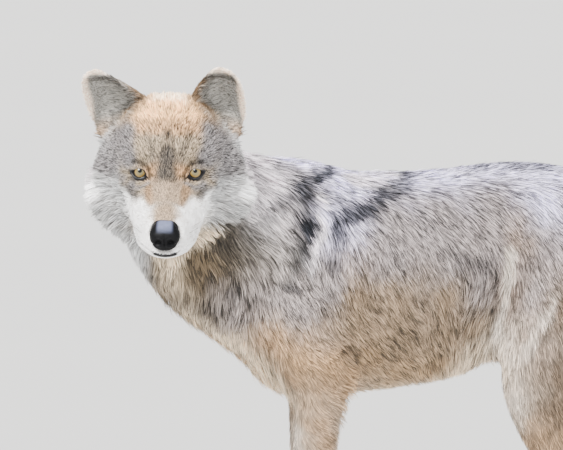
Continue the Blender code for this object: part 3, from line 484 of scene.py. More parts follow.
def with_bands(hues, places, waver, bands, scale=(1, 1, 1)):
    """The markings with bands across them, that waver and fade out at their edges."""
    for name, strength, half_width, *line in bands:
        away = from_line(places, line, scale) * 1000 + waver * half_width * 0.45
        hues = laid(hues, name, strength * (1 - step(away, half_width * 0.2, half_width * 1.6)))
    return hues


def markings(points):
    """Light colour, dark colour and share of dark hairs at each place of the coat."""
    waver = mottle(points, 0.045, 3)
    shift = 0.006 * np.stack([mottle(points, 0.05, seed) for seed in (4, 5, 6)], axis=1)
    body_places, head_places = body_home(points), head_home(points)
    body = BODY_HUE_GUIDES.at(body_places + shift, power=1.8, softness=0.024)
    body = with_bands(body, body_places, waver, BODY_BANDS, (1, 0.35, 1))
    head = HEAD_HUE_GUIDES.at(head_places + shift * 0.3, power=2.3, softness=0.007)
    head = with_bands(head, head_places, waver * 0.6, HEAD_BANDS)
    # the throat's right side is pale
    p = turned(points, HEAD_IN)
    head = laid(head, "cheek", step(p[:, 0], 0.015, 0.045) * (1 - step(p[:, 2], -0.110, -0.075)))
    share = head_share(points)[:, None]
    return body * (1 - share) + head * share


# ---------------------------------------------------------------- paws

# heel, place across, side, half length and half width of each paw
PAWS = [(-0.016, -0.060, -1, 0.050, 0.038), (0.058, 0.055, 1, 0.050, 0.038),
        (0.478, -0.068, -1, 0.047, 0.034), (0.614, 0.066, 1, 0.047, 0.034)]
# across and forward place of each toe, in half widths and half lengths of its paw
TOES = ((-0.74, -0.16), (-0.26, 0.14), (0.26, 0.14), (0.74, -0.16))
PAW_AHEAD = 0.022                      # from the heel forward to where the paw turns outwards
TOE_OUT = 6                            # degrees that each paw points outwards


def paw_frame(heel, sideways, side):
    place = Matrix.Translation((heel - PAW_AHEAD, sideways, 0))
    return BODY @ place @ Matrix.Rotation(math.radians(-TOE_OUT * side), 4, "Z")


def toe_grooves(points, width):
    """1 in the grooves between the toes, 0 away from them."""
    found = np.zeros(len(points))
    for heel, sideways, side, half_length, half_width in PAWS:
        p = turned(points, np.array(paw_frame(heel, sideways, side).inverted()))
        ahead = -p[:, 0] / half_length
        near = step(ahead, 0.30, 0.75) * (ahead < 2.2) * (np.abs(p[:, 1]) < 0.06)
        near = near * step(p[:, 2], 0.002, 0.006)
        for across in (-0.50, 0, 0.50):
            groove = np.exp(-((p[:, 1] - half_width * across * (0.72 + 0.28 * ahead)) / width) ** 2)
            found = np.maximum(found, groove * near * (1 - step(p[:, 2], 0.035, 0.050)))
    return found


# ---------------------------------------------------------------- skin

FLESH = ["head", "jaw", "neck", "trunk", "tail", "ear_left", "ear_right",
         "foreleg_left", "foreleg_right", "paw_fore_left", "paw_fore_right",
         "hindleg_left", "hindleg_right", "paw_hind_left", "paw_hind_right"]

SKIN_CELL = 0.0034                     # size of the cells in which the solids are made one skin
SKIN_KEPT = 0.26                       # share of its faces that stay, most of them on the face and ears
FINE_LEAST = 0.03                      # how fine the rest of the body stays beside them
EAR_DEPTH = 0.0016                     # depth of the coat on the ears
GROUND_GAP = 0.0004                    # how far the skin stays above the ground
GROOVE_DEPTH = 0.0036                  # between the toes


def put(name, data):
    """A new object in the scene."""
    made = bpy.data.objects.new(name, data)
    bpy.context.scene.collection.objects.link(made)
    return made


def only(obj):
    """Selects one object alone and makes it the active one."""
    bpy.ops.object.select_all(action="DESELECT")
    obj.select_set(True)
    bpy.context.view_layer.objects.active = obj


def welded_copy(nodes, name):
    """The CAD nodes' faces as one mesh with shared corners."""
    bm = bmesh.new()
    for node in nodes:
        bm.from_mesh(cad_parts[node].data)
    bmesh.ops.remove_doubles(bm, verts=bm.verts, dist=1e-6)
    mesh = bpy.data.meshes.new(name)
    bm.to_mesh(mesh)
    bm.free()
    return put(name, mesh)


def get_points(obj):
    flat = np.empty(len(obj.data.vertices) * 3, np.float32)
    obj.data.vertices.foreach_get("co", flat)
    return flat.reshape(-1, 3).astype(float)


def set_points(obj, points):
    obj.data.vertices.foreach_set("co", points.astype(np.float32).ravel())
    obj.data.update()


def get_normals(obj):
    flat = np.empty(len(obj.data.vertices) * 3, np.float32)
    obj.data.vertices.foreach_get("normal", flat)
    return flat.reshape(-1, 3).astype(float)


def triangles(obj):
    obj.data.calc_loop_triangles()
    flat = np.empty(len(obj.data.loop_triangles) * 3, np.int32)
    obj.data.loop_triangles.foreach_get("vertices", flat)
    return flat.reshape(-1, 3)


def apply_modifier(obj, kind, **settings):
    only(obj)
    modifier = obj.modifiers.new(kind.lower(), kind)
    for key, value in settings.items():
        setattr(modifier, key, value)
    bpy.ops.object.modifier_apply(modifier=modifier.name)


def relaxed(obj, values, weight, rounds, strength=0.5):
    """Values at the mesh's points, each moved towards the mean of its neighbours."""
    edges = np.empty(len(obj.data.edges) * 2, np.int32)
    obj.data.edges.foreach_get("vertices", edges)
    a, b = edges.reshape(-1, 2).T
    count = np.bincount(a, minlength=len(values)) + np.bincount(b, minlength=len(values))
    for _ in range(rounds):
        total = [np.bincount(a, column[b], len(values)) + np.bincount(b, column[a], len(values))
                 for column in values.T]
        mean = np.stack(total, axis=1) / np.maximum(count, 1)[:, None]
        values = values + (mean - values) * (weight * strength)[:, None]
    return values


def refine(obj, near, finest):
    """Halves the edges that are longer than finest, where both their ends pass a test."""
    bm = bmesh.new()
    bm.from_mesh(obj.data)
    bm.verts.ensure_lookup_table()
    keep = near(np.array([v.co for v in bm.verts]))
    edges = [e for e in bm.edges
             if keep[e.verts[0].index] and keep[e.verts[1].index] and e.calc_length() > finest]
    bmesh.ops.subdivide_edges(bm, edges=edges, cuts=1, smooth=0.6)
    bmesh.ops.triangulate(bm, faces=[f for f in bm.faces if len(f.verts) > 3])
    bm.to_mesh(obj.data)
    bm.free()


# side and centre of the left and right eyeball, in head axes
EYES = [(side, np.array((side * 0.03925, -EYE_BEHIND, -0.0022))) for side in (-1, 1)]
LID_TILT = math.radians(26)            # the line between the eye's corners rises outwards
LID = 0.0011                           # thickness of the lids over the eyeball
SUNK = 0.0030                          # how far the skin lies inside the eyeball behind it


def eye_places(head_points, side, centre):
    """Places about one eye, in mm.

    They count outwards and up from the middle of the line between its corners, and ahead of it.
    """
    offset = (head_points - centre) * 1000
    look = np.array((0, 0.927, 0.375)) / np.linalg.norm((0.927, 0.375))
    outward = np.array((side, 0, 0))
    up = np.cross(np.array((1, 0, 0)), look)
    a, b, ahead = offset @ outward, offset @ up, offset @ look
    cosine, sine = math.cos(LID_TILT), math.sin(LID_TILT)
    return a * cosine + b * sine + 1.9, b * cosine - a * sine + 4.0, ahead


def lid_edge(across, up):
    """How far outside the almond opening between the lids a place is, in mm."""
    half, high, low = 11.4, 7.8, 4.2   # half its length, and its height above and below the corners
    t = np.clip(np.abs(across) / half, 0, 1)
    upper, lower = high * (1 - t ** 2.3), -low * (1 - t ** 2)
    level = np.maximum(up - upper, lower - up)
    beyond = np.hypot(np.maximum(np.abs(across) - half, 0), up)
    return np.where(np.abs(across) > half, beyond, level)


def rim_width(up):
    """How wide the bare black margin of the lids is, in mm.

    It is thin above, and wide below and at the corners.
    """
    return 1.7 + 2.9 * (1 - step(up, -1, 6))


def open_lids(points):
    """Sinks the skin behind each eyeball, and lays thick lids over it round an almond opening."""
    p = turned(points, HEAD_IN)
    for side, centre in EYES:
        across, up, ahead = eye_places(p, side, centre)
        edge = lid_edge(across, up)
        offset = p - centre
        away = np.linalg.norm(offset, axis=1)
        # a roll along the lids' edge, a fold above the upper lid, and a rise to the brow
        lid = EYEBALL_RADIUS + LID + 0.0006 * np.exp(-((edge - 2.4) / 1.6) ** 2)
        lid = lid - 0.0010 * np.exp(-((edge - 5.6) / 1.3) ** 2) * (up > 0)
        lid = lid + 0.00022 * np.maximum(edge - 4, 0)
        wanted = np.where(edge < 0, EYEBALL_RADIUS - SUNK + SUNK * step(edge, -1.6, 0), lid)
        reach = (1 - step(edge, 3.0, 12.0)) * (ahead > 0) * (away < 0.036)
        p = centre + offset * (1 + (wanted / away - 1) * reach)[:, None]
    return turned(p, HEAD_OUT)


# lines on the right half of the face, in head axes: the lips' parting, the groove under the nose,
# the bare front of the lips and the furrow of the forehead
MOUTH = [(0, 0.122, -0.0780), (0.012, 0.120, -0.0765), (0.023, 0.115, -0.0700), (0.0335, 0.100, -0.0690),
         (0.041, 0.078, -0.0700), (0.045, 0.050, -0.0735), (0.047, 0.030, -0.0770)]
PHILTRUM = [(0, 0.128, -0.066), (0, 0.123, -0.079)]
LIP = [(0, 0.122, -0.0780), (0.007, 0.1215, -0.0778), (0.013, 0.1195, -0.0765)]
FURROW = [(0, -0.066, 0.076), (0, -0.030, 0.056), (0, -0.004, 0.032)]


def shape_face(points, normals):
    """The line of the lips, the groove under the nose, and the soft furrow of the forehead."""
    p = head_home(points)
    mouth, groove, furrow = (from_line(p, line) * 1000 for line in (MOUTH, PHILTRUM, FURROW))
    push = -1.6 * np.exp(-(mouth / 1.7) ** 2) + 0.9 * np.exp(-((mouth - 4.5) / 2.2) ** 2)
    push += -0.9 * np.exp(-(groove / 1.2) ** 2) - 1.4 * np.exp(-(furrow / 4) ** 2)
    return points + normals * (push / 1000)[:, None]


def ear_share(points):
    """1 on the ears, 0 elsewhere."""
    p = head_home(points)
    # above a line from the crown's edge down and out to the ear's outer root
    return step(p[:, 2] + 0.80 * p[:, 0], 0.093, 0.108) * (p[:, 0] > 0.02) * step(p[:, 1], -0.17, -0.15)


def from_eyes(points):
    """How far each place is from the nearer eye's front."""
    p, front = turned(points, HEAD_IN), np.array((0, 0.008, 0))
    return np.minimum(*[np.linalg.norm(p - centre - front, axis=1) for _, centre in EYES])


def smooth_skin():
    """One closed skin round all the solids, even and softly joined, with fine faces on the head."""
    skin = welded_copy([*FLESH, "eye_left", "eye_right"], "skin")
    set_points(skin, get_points(skin) + get_normals(skin) * 0.0005)
    apply_modifier(skin, "REMESH", mode="VOXEL", voxel_size=SKIN_CELL)
    points = get_points(skin)
    head = turned(points, HEAD_IN)
    on_face = step(head[:, 1], -0.12, -0.03) * step(head[:, 2], -0.12, -0.09)
    on_ear = step(head[:, 2], 0.03, 0.06) * (np.abs(head[:, 0]) > 0.03) * (head[:, 1] > -0.16)
    fine = np.maximum(on_face, on_ear)
    set_points(skin, relaxed(skin, points, 1 - 0.55 * fine, 14))
    # the join of head and neck is softened more
    collar = step(head[:, 1], -0.26, -0.19) * step(-head[:, 1], 0.055, 0.085) * (1 - on_ear)
    set_points(skin, relaxed(skin, get_points(skin), collar, 70))
    # sparser away from the head
    group = skin.vertex_groups.new(name="fine")
    sort = np.clip(fine, FINE_LEAST, 1).round(1)
    for value in np.unique(sort):
        group.add(np.nonzero(sort == value)[0].tolist(), float(max(value, FINE_LEAST)), "REPLACE")
    apply_modifier(skin, "DECIMATE", ratio=SKIN_KEPT, vertex_group="fine", invert_vertex_group=True,
                   vertex_group_factor=0.02)
    skin.vertex_groups.clear()
    return skin


def sink_skin(skin, rounds=4):
    """Moves the skin inside the solids by the depth of the coat."""
    points = get_points(skin)
    _, depth, _, _, _ = coat_at(points)
    ear = ear_share(points)
    depth = (depth * (1 - ear) + EAR_DEPTH * ear)[:, None]
    depth = relaxed(skin, depth, np.ones(len(points)), 4)[:, 0]
    for _ in range(rounds):
        points = points - get_normals(skin) * depth[:, None] / rounds
        points[:, 2] = np.maximum(points[:, 2], GROUND_GAP)
        set_points(skin, points)
        set_points(skin, relaxed(skin, points, np.full(len(points), 0.5), 1))
        points = get_points(skin)


def build_skin():
    skin = smooth_skin()
    sink_skin(skin)
    # finer faces where lids, lips and toes are shaped
    for radius, finest in ((0.032, 0.0030), (0.026, 0.0016), (0.021, 0.0010)):
        refine(skin, lambda q, r=radius: from_eyes(q) < r, finest)
    for reach, finest in ((0.011, 0.0022), (0.008, 0.0014)):
        refine(skin, lambda q, r=reach: from_line(head_home(q), MOUTH) < r, finest)
    set_points(skin, open_lids(get_points(skin)))
    set_points(skin, shape_face(get_points(skin), get_normals(skin)))
    for finest in (0.0045, 0.0022):
        refine(skin, lambda q: toe_grooves(q, 0.007) > 0.2, finest)
    points = get_points(skin)
    groove = toe_grooves(points, 0.0030)[:, None]
    set_points(skin, points - get_normals(skin) * GROOVE_DEPTH * groove)
    return skin


skin = build_skin()

# ---------------------------------------------------------------- places on the finished skin


class Shell:
    """The outer surface of some objects, that tells which of them a place is nearest to."""

    def __init__(self, objects):
        points, faces, self.owner, start = [], [], [], 0
        for index, obj in enumerate(objects):
            node_points, node_faces = get_points(obj), triangles(obj)
            points.append(node_points)
            faces.append(node_faces + start)
            self.owner += [index] * len(node_faces)
            start += len(node_points)
        self.tree = BVHTree.FromPolygons(np.vstack(points).tolist(), np.vstack(faces).tolist())

    def look_up(self, points):
        """Object index, distance outside the surface, and the surface's normal, for each place."""
        count = len(points)
        index, outside, normals = np.empty(count, int), np.empty(count), np.empty((count, 3))
        for i, point in enumerate(points.tolist()):
            near, normal, face, _ = self.tree.find_nearest(point)
            index[i] = self.owner[face]
            outside[i] = (Vector(point) - near).dot(normal)
            normals[i] = normal
        return index, outside, normals


solid = Shell([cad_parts[node] for node in FLESH])
under = Shell([skin])
nose_shell = Shell([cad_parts["nose"]])
NOSE_LOW = head_home(get_points(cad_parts["nose"])).min(0)
NOSE_HIGH = head_home(get_points(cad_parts["nose"])).max(0)


def ear_spans():
    """For each ear, the inner and outer edge in head axes at a few heights."""
    spans = {}
    for side, node in ((-1, "ear_left"), (1, "ear_right")):
        p = turned(get_points(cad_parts[node]), HEAD_IN)
        levels = np.linspace(p[:, 2].min() + 0.006, p[:, 2].max() - 0.004, 12)
        inner, outer = [], []
        for level in levels:
            x = np.abs(p[np.abs(p[:, 2] - level) < 0.010, 0])
            inner.append(x.min())
            outer.append(x.max())
        spans[side] = (levels, np.array(inner), np.array(outer))
    return spans


EAR_SPANS = ear_spans()


def ear_places(points):
    """Across an ear from its inner edge (0) to its outer edge (1), and up from root (0) to tip (1)."""
    p = turned(points, HEAD_IN)
    across, up = np.empty(len(p)), np.empty(len(p))
    for side, (levels, inner, outer) in EAR_SPANS.items():
        here = (p[:, 0] > 0) == (side > 0)
        low, high = np.interp(p[here, 2], levels, inner), np.interp(p[here, 2], levels, outer)
        across[here] = (np.abs(p[here, 0]) - low) / np.maximum(high - low, 0.004)
        up[here] = (p[here, 2] - levels[0]) / (levels[-1] - levels[0])
    return across, up


def ear_markings(points, normals):
    """Pale hair across the cup, painted shade in the hollow at its root, a dark inner edge, tan backs and a
    white outer fringe.
    """
    across, up = ear_places(points)
    facing = turned(normals, HEAD_IN, True)[:, 1]
    hues = np.tile(hue_row("ear_back"), (len(points), 1))
    cup = step(facing, 0.05, 0.35)
    # painted shade in the hollow at the root of the cup, near its inner edge
    root = cup * np.exp(-((across - 0.28) / 0.16) ** 2) * (1 - step(up, 0.10, 0.50))
    edge = cup * np.exp(-((across - 0.25) / 0.06) ** 2) * step(up, 0.25, 0.5)
    hues = laid(hues, "ear_hair", cup)
    hues = laid(hues, "warm", 0.8 * cup * (1 - step(up, 0.05, 0.38)))
    hues = laid(hues, "ear_hollow_shade", 0.85 * root)
    hues = laid(hues, "ear_tip", 0.5 * edge)
    hues = laid(hues, "ear_back", 1 - step(across, 0.10, 0.22))
    hues = laid(hues, "ear_tip", 0.55 * np.exp(-((up - 0.87) / 0.04) ** 2) * cup)
    hues = laid(hues, "ear_rim", step(across, 0.80, 0.90))
    return laid(hues, "ear_rim", step(up, 0.91, 0.96))


def all_markings(points, normals):
    """The markings of body, head, paws and ears together, with painted shade in the grooves between the
    toes.
    """
    hues, share = markings(points), ear_share(points)
    # painted shade in the grooves between the toes, in the rump's brown
    hues = laid(hues, "rump", 0.75 * toe_grooves(points, 0.0026))
    ears = share > 0
    mixed = share[ears, None]
    hues[ears] = hues[ears] * (1 - mixed) + ear_markings(points[ears], normals[ears]) * mixed
    return hues


def bare(points):
    """Places where no hair grows: the lids' margins, the lips' edge, the nose and the soles."""
    p = turned(points, HEAD_IN)
    found = points[:, 2] < 0.0035
    for side, centre in EYES:
        across, up, ahead = eye_places(p, side, centre)
        by_eye = (ahead > 0) & (np.linalg.norm(p - centre, axis=1) < 0.03)
        found |= (lid_edge(across, up) < rim_width(up) - 0.5) & by_eye
    home = head_home(points)
    found |= (from_line(home, MOUTH) < 0.0016) & (home[:, 0] < 0.020)
    found |= from_line(home, LIP) < 0.0056
    ahead = np.nonzero(home[:, 1] > 0.09)[0]
    _, outside, _ = nose_shell.look_up(points[ahead])
    found[ahead] |= outside < -0.0025
    return found


# ---------------------------------------------------------------- materials


class Value:
    """A socket of a material that can be used in sums."""

    def __init__(self, net, socket):
        self.net, self.socket = net, socket

    def math(self, operation, *others):
        return self.net.node("ShaderNodeMath", {"operation": operation}, self, *others)

    def __add__(self, other):
        return self.math("ADD", other)

    def __sub__(self, other):
        return self.math("SUBTRACT", other)

    def __mul__(self, other):
        return self.math("MULTIPLY", other)

    def __pow__(self, other):
        return self.math("POWER", other)

    def __rsub__(self, other):
        return self.net.node("ShaderNodeMath", {"operation": "SUBTRACT"}, other, self)

    __radd__, __rmul__ = __add__, __mul__

    def between(self, start, end):
        """0 below start and 1 above end, with a soft change between them."""
        softly = {"interpolation_type": "SMOOTHSTEP"}
        return self.net.node("ShaderNodeMapRange", softly, self, start, end)


class Net:
    """One material, written down as values that feed its surface."""

    def __init__(self, name):
        self.material = bpy.data.materials.new(name)
        self.material.use_nodes = True
        self.tree = self.material.node_tree
        self.tree.nodes.clear()

    def node(self, kind, settings=None, *inputs, output=0, **named):
        """A node with its settings, its sockets' values or links, and the output that is used."""
        made = self.tree.nodes.new(kind)
        for key, value in (settings or {}).items():
            setattr(made, key, value)
        sockets = {key.replace("_", " "): value for key, value in named.items()}
        for key, value in [*enumerate(inputs), *sockets.items()]:
            socket = made.inputs[key]
            if isinstance(value, Value):
                self.tree.links.new(value.socket, socket)
            elif value is not None:
                socket.default_value = value
        return Value(self, made.outputs[output])

    def mix(self, share, low, high, blend="MIX"):
        """Two colours mixed: the first where the share is 0, the second where it is 1."""
        low, high = (c if isinstance(c, Value) else (*c, 1) for c in (low, high))
        colours = {"data_type": "RGBA", "blend_type": blend}
        unused = [None] * 5            # the sockets that mix numbers and vectors
        return self.node("ShaderNodeMix", colours, share, *unused, low, high, output=2)

    def attribute(self, name, output=0):
        """What a mesh stores at its points: as a colour (0), a vector (1) or a number (2)."""
        return self.node("ShaderNodeAttribute", {"attribute_name": name}, output=output)

    def place(self):
        """Object coordinates."""
        return self.node("ShaderNodeTexCoord", output=3)

    def noise(self, scale, detail=2.0, roughness=0.5, place=None):
        sockets = (place or self.place(), None, scale, detail, roughness)
        return self.node("ShaderNodeTexNoise", None, *sockets)

    def grey(self, tone):
        """One number as a grey colour."""
        return self.node("ShaderNodeCombineColor", None, tone, tone, tone)

    def surface(self, **inputs):
        principled = self.node("ShaderNodeBsdfPrincipled", None, **inputs)
        end = self.tree.nodes.new("ShaderNodeOutputMaterial")
        self.tree.links.new(principled.socket, end.inputs["Surface"])
        return self.material


def hair_material(name, roughness, sheen):
    """Hair that takes its colour from the tufts and differs a little from one to the next."""
    net = Net(name)
    colour = net.attribute("coat")
    tuft, along = net.attribute("tuft", 2), net.attribute("along", 2)
    patch = net.noise(22, 3).between(0.30, 0.70)
    tone = net.grey(0.90 + tuft * 0.14 + patch * 0.08)
    rough = roughness + tuft * 0.12 - along * 0.10
    return net.surface(Base_Color=net.mix(1.0, colour, tone, "MULTIPLY"), Roughness=rough,
                       Specular_IOR_Level=0.2, Sheen_Weight=sheen, Sheen_Roughness=0.5)


def skin_material():
    """The skin between the hairs, and the bare black skin of lids, lips and soles."""
    net = Net("skin_under_coat")
    colour = net.attribute("coat")
    fine = net.noise(900, 3, 0.6)
    # the skin is multiplied by 0.72 plus two noises: painted shade under the coat, with random mottling
    shade = net.grey(0.72 + net.noise(60, 3) * 0.25 + fine * 0.15)
    bump = net.node("ShaderNodeBump", None, 0.10, 0.0003, Height=fine)
    wet = net.attribute("moist", 2)
    return net.surface(Base_Color=net.mix(1.0, colour, shade, "MULTIPLY"),
                       Roughness=0.75 - wet * 0.35, Normal=bump, Specular_IOR_Level=0.4)


def write(mesh, name, values, kind="FLOAT"):
    """Stores a number, or a vector, for each point of a mesh."""
    field = "value" if kind == "FLOAT" else "vector"
    values = np.asarray(values, np.float32).ravel()
    mesh.attributes.new(name, kind, "POINT").data.foreach_set(field, values)


def write_colours(mesh, name, colours):
    """Stores a colour for each point of a mesh."""
    colours = np.hstack([colours, np.ones((len(colours), 1))]).astype(np.float32).ravel()
    mesh.color_attributes.new(name, "FLOAT_COLOR", "POINT").data.foreach_set("color", colours)


# ---------------------------------------------------------------- the coat's tufts

# piece: its slot, which picks its material, number of tufts, and whether they are long enough to bend
PIECES = {
    "coat_face": ("coat_face", 64000, False),
    "coat_cheeks": ("coat_face", 35000, True),
    "coat_ears": ("coat_ears", 36000, False),
    "coat_neck": ("coat_neck", 38000, True),
    "coat_shoulder_left": ("coat_back", 24000, True),
    "coat_shoulder_right": ("coat_back", 24000, True),
    "coat_flank_left": ("coat_back", 25000, True),
    "coat_flank_right": ("coat_back", 25000, True),
    "coat_tail": ("coat_tail", 13000, True),
    "coat_forelegs": ("coat_legs", 24000, False),
    "coat_hindlegs": ("coat_legs", 26000, True),
    "coat_paws": ("coat_paws", 14000, False),
}
NAMES = list(PIECES)
FACE_FROM = -0.048                     # in head axes, where the cheeks end and the face starts
FLANK_FROM = 0.175                     # in body axes, where the shoulder ends and the flank starts

# a tuft's places: how far along it they are, and how wide it is there
ALONG = np.array((0, 0.34, 0.70, 1))
WIDTHS = np.array((0.80, 1.0, 0.72, 0))


def piece_of(points, owner):
    """Index of the coat piece that each place belongs to."""
    groups = {"neck": "neck", "tail": "tail", "fore": "forelegs", "hind": "hindlegs", "paw_": "paws"}
    p, head = points - np.array(BODY.translation), turned(points, HEAD_IN)
    found = np.empty(len(points), int)
    for index, node in enumerate(FLESH):
        here = owner == index
        if node in ("head", "jaw"):
            found[here] = np.where(head[here, 1] > FACE_FROM, 0, 1)
        elif node.startswith("ear"):
            found[here] = NAMES.index("coat_ears")
        elif node == "trunk":
            first = NAMES.index("coat_shoulder_left")
            found[here] = first + (p[here, 1] > 0) + 2 * (p[here, 0] > FLANK_FROM)
        else:
            found[here] = NAMES.index("coat_" + groups[node[:4]])
    return found


class Surface:
    """The skin's triangles, with what is needed to plant tufts on them."""

    def __init__(self, obj):
        self.points, self.normals, self.faces = get_points(obj), get_normals(obj), triangles(obj)
        owner, _, _ = solid.look_up(self.points)
        corners = self.points[self.faces]
        first, second = corners[:, 1] - corners[:, 0], corners[:, 2] - corners[:, 0]
        self.area = np.linalg.norm(np.cross(first, second), axis=1) / 2
        middle = corners.mean(1)
        self.piece = piece_of(middle, owner[self.faces[:, 0]])
        self.length = coat_at(middle)[2]
        self.length[ear_share(middle) > 0.5] = 0.007

    def plant(self, piece, count):
        """Roots and normals of a piece's tufts, closer together where they are short."""
        faces = np.nonzero((self.piece == piece) & (self.area > 1e-10))[0]
        weight = self.area[faces] * (self.length[faces] + 0.002) ** -1.2
        chosen = faces[rng.choice(len(faces), count, p=weight / weight.sum())]
        a, b = rng.random((2, count))
        flip = a + b > 1
        a[flip], b[flip] = 1 - a[flip], 1 - b[flip]
        share = np.stack([1 - a - b, a, b], axis=1)[:, :, None]
        roots = (self.points[self.faces[chosen]] * share).sum(1)
        normals = unit((self.normals[self.faces[chosen]] * share).sum(1))
        keep = ~bare(roots)
        return roots[keep], normals[keep]


def ear_lie(points, normals, lie, length, lift):
    """The lie, length and lift of the hair, with the ears' own where the places are on an ear.

    On an ear's back it runs to the tip, in its cup it crosses from the inner edge outwards.
    """
    p = turned(points, HEAD_IN)
    side = np.sign(p[:, :1])
    across, up = ear_places(points)
    facing = turned(normals, HEAD_IN, True)[:, 1]
    cup = step(facing, 0.05, 0.35)[:, None]
    back_way = np.hstack([side * 0.25, side * 0, side * side])
    cup_way = np.hstack([side * 0.95, side * 0, 0.10 + 0.5 * up[:, None]])
    way = turned(unit(back_way * (1 - cup) + cup_way * cup), HEAD_OUT, True)
    long = 0.0055 + cup[:, 0] * 0.010 * (1 - step(across, 0.35, 0.80)) * (1 - step(up, 0.75, 0.95))
    share = ear_share(points)
    lie = unit(lie * (1 - share)[:, None] + way * share[:, None])
    head = (1 - share) ** 3
    return lie, length * head + long * (1 - head), lift * (1 - share) + math.radians(12) * share


STRAYS = 0.05                          # share of tufts that are longer, thinner and stand up more
TUFTS_IN_LOCK = 13                     # how many tufts lean to the tip of one of them


def leaders_of(roots):
    """For each tuft, the tuft near it that leads its lock, and how far away that one is."""
    count = len(roots)
    leaders = rng.choice(count, max(count // TUFTS_IN_LOCK, 1), replace=False)
    tree = KDTree(len(leaders))
    for i, leader in enumerate(leaders):
        tree.insert(roots[leader], i)
    tree.balance()
    found = [tree.find(root) for root in roots.tolist()]
    return leaders[np.array([f[1] for f in found])], np.array([f[2] for f in found])


def tufts(roots, normals):
    """The four middle points of each tuft, its width, the way across it, and its lock's leader."""
    count = len(roots)
    lie, _, length, lift, gather = coat_at(roots)
    ears = ear_share(roots) > 0
    lie[ears], length[ears], lift[ears] = ear_lie(roots[ears], normals[ears], lie[ears],
                                                  length[ears], lift[ears])
    lie = unit(lie - (lie * normals).sum(1)[:, None] * normals)
    # a wavering lie, alike for neighbours, with a little of each tuft's own
    swing = 0.16 * mottle(roots, 0.06, 21) + 0.10 * mottle(roots, 0.018, 22)
    swing = swing + rng.normal(0, 0.10, count)
    across = np.cross(normals, lie)
    lie = lie * np.cos(swing)[:, None] + across * np.sin(swing)[:, None]
    across = np.cross(normals, lie)
    stray = rng.random(count) < STRAYS
    length = length * rng.uniform(0.62, 1.12, count) * np.where(stray, 1.15, 1)
    lift = lift * rng.uniform(0.5, 1.5, count) * np.where(stray, 1.6, 1)
    width = (0.00046 + 0.024 * length) * rng.uniform(0.75, 1.2, count) * np.where(stray, 0.6, 1)
    t = ALONG[None, :, None]
    reach, rise = (length * np.cos(lift))[:, None, None], (length * np.sin(lift))[:, None, None]
    sunk = np.minimum(0.0008, 0.03 * length)[:, None]
    along, raised = lie[:, None] * reach * t, normals[:, None] * rise * (t - 0.35 * t * t)
    line = (roots - normals * sunk)[:, None] + along + raised
    line[:, :, 2] -= (0.05 * length)[:, None] * ALONG ** 2
    # tufts gather to the tip of a neighbour
    leader, apart = leaders_of(roots)
    near = np.exp(-(apart / (0.35 * length + 0.001)) ** 2)
    pull = (gather * near)[:, None] * (line[leader, 3] - line[:, 3])
    line += pull[:, None] * (t ** 1.6)
    # no tuft stands out past the solid by more than a little
    _, outside, out = solid.look_up(line[:, 3])
    _, already, _ = solid.look_up(roots)
    spare = 0.0006 + rng.exponential(0.0011, count) * (1 + 45 * length)
    spare = spare + 0.004 * stray * (length > 0.012)
    spare = np.maximum(spare, already + 0.0012 + 0.08 * length)
    line -= (np.maximum(outside - spare, 0)[:, None] * out)[:, None] * t
    # a tuft never dips under the skin
    for level in (1, 2, 3):
        _, above, out = under.look_up(line[:, level])
        wanted = (0.0004 + 0.05 * length) * ALONG[level]
        line[:, level] += np.clip(wanted - above, 0, 0.02)[:, None] * out
    twist = rng.normal(0, 0.45, count)[:, None]
    sideways = unit(across * np.cos(twist) + normals * np.sin(twist))
    return line, width, sideways, leader


def length_of(line):
    """From root to tip of each tuft."""
    return np.linalg.norm(line[:, 3] - line[:, 0], axis=1)


def tuft_colours(roots, normals, line, leader):
    """The colour of each tuft at its four places: darker at the root, as underfur and as painted shade of
    the coat's depth, banded where the coat is grizzled.
    """
    count = len(roots)
    hues = all_markings(roots * 0.35 + line[:, 2] * 0.65, normals)
    light, dark, share = hues[:, :3], hues[:, 3:6], hues[:, 6]
    # tufts of one lock are partly alike, long ones more so
    lock = rng.random(count)[leader]
    share_of_lock = np.clip(length_of(line) * 14, 0.12, 0.42)
    pick = (1 - share_of_lock) * rng.random(count) + share_of_lock * lock
    soft = 0.10 + 0.16 * step(length_of(line), 0.008, 0.022)
    chosen = 1 - step(pick, share - soft, share + soft)
    banded = (rng.random(count) < 0.45) * step(share, 0.36, 0.46)
    spread = rng.normal(0, 0.12, count)
    glow = np.exp(spread + 1.1 * share_of_lock * (rng.random(count)[leader] - 0.5))[:, None]
    main = (light * (1 - chosen[:, None]) + dark * chosen[:, None]) * glow
    # the root leans to the dark hairs as underfur, and is darkened by 0.62 as painted shade deep in the coat
    root = (0.45 * main + 0.55 * (0.6 * dark + 0.4 * light)) * 0.62
    low = 0.35 * root + 0.65 * main
    tip = main * (1 - 0.55 * banded[:, None]) * 1.04
    return np.stack([root, low, main, tip], axis=1)


MAP_KEPT = 0.06                        # share of the skin's faces in the plain copy that is unwrapped
MAP_PATCH = 0.003                      # size of one tuft's patch on its piece's map


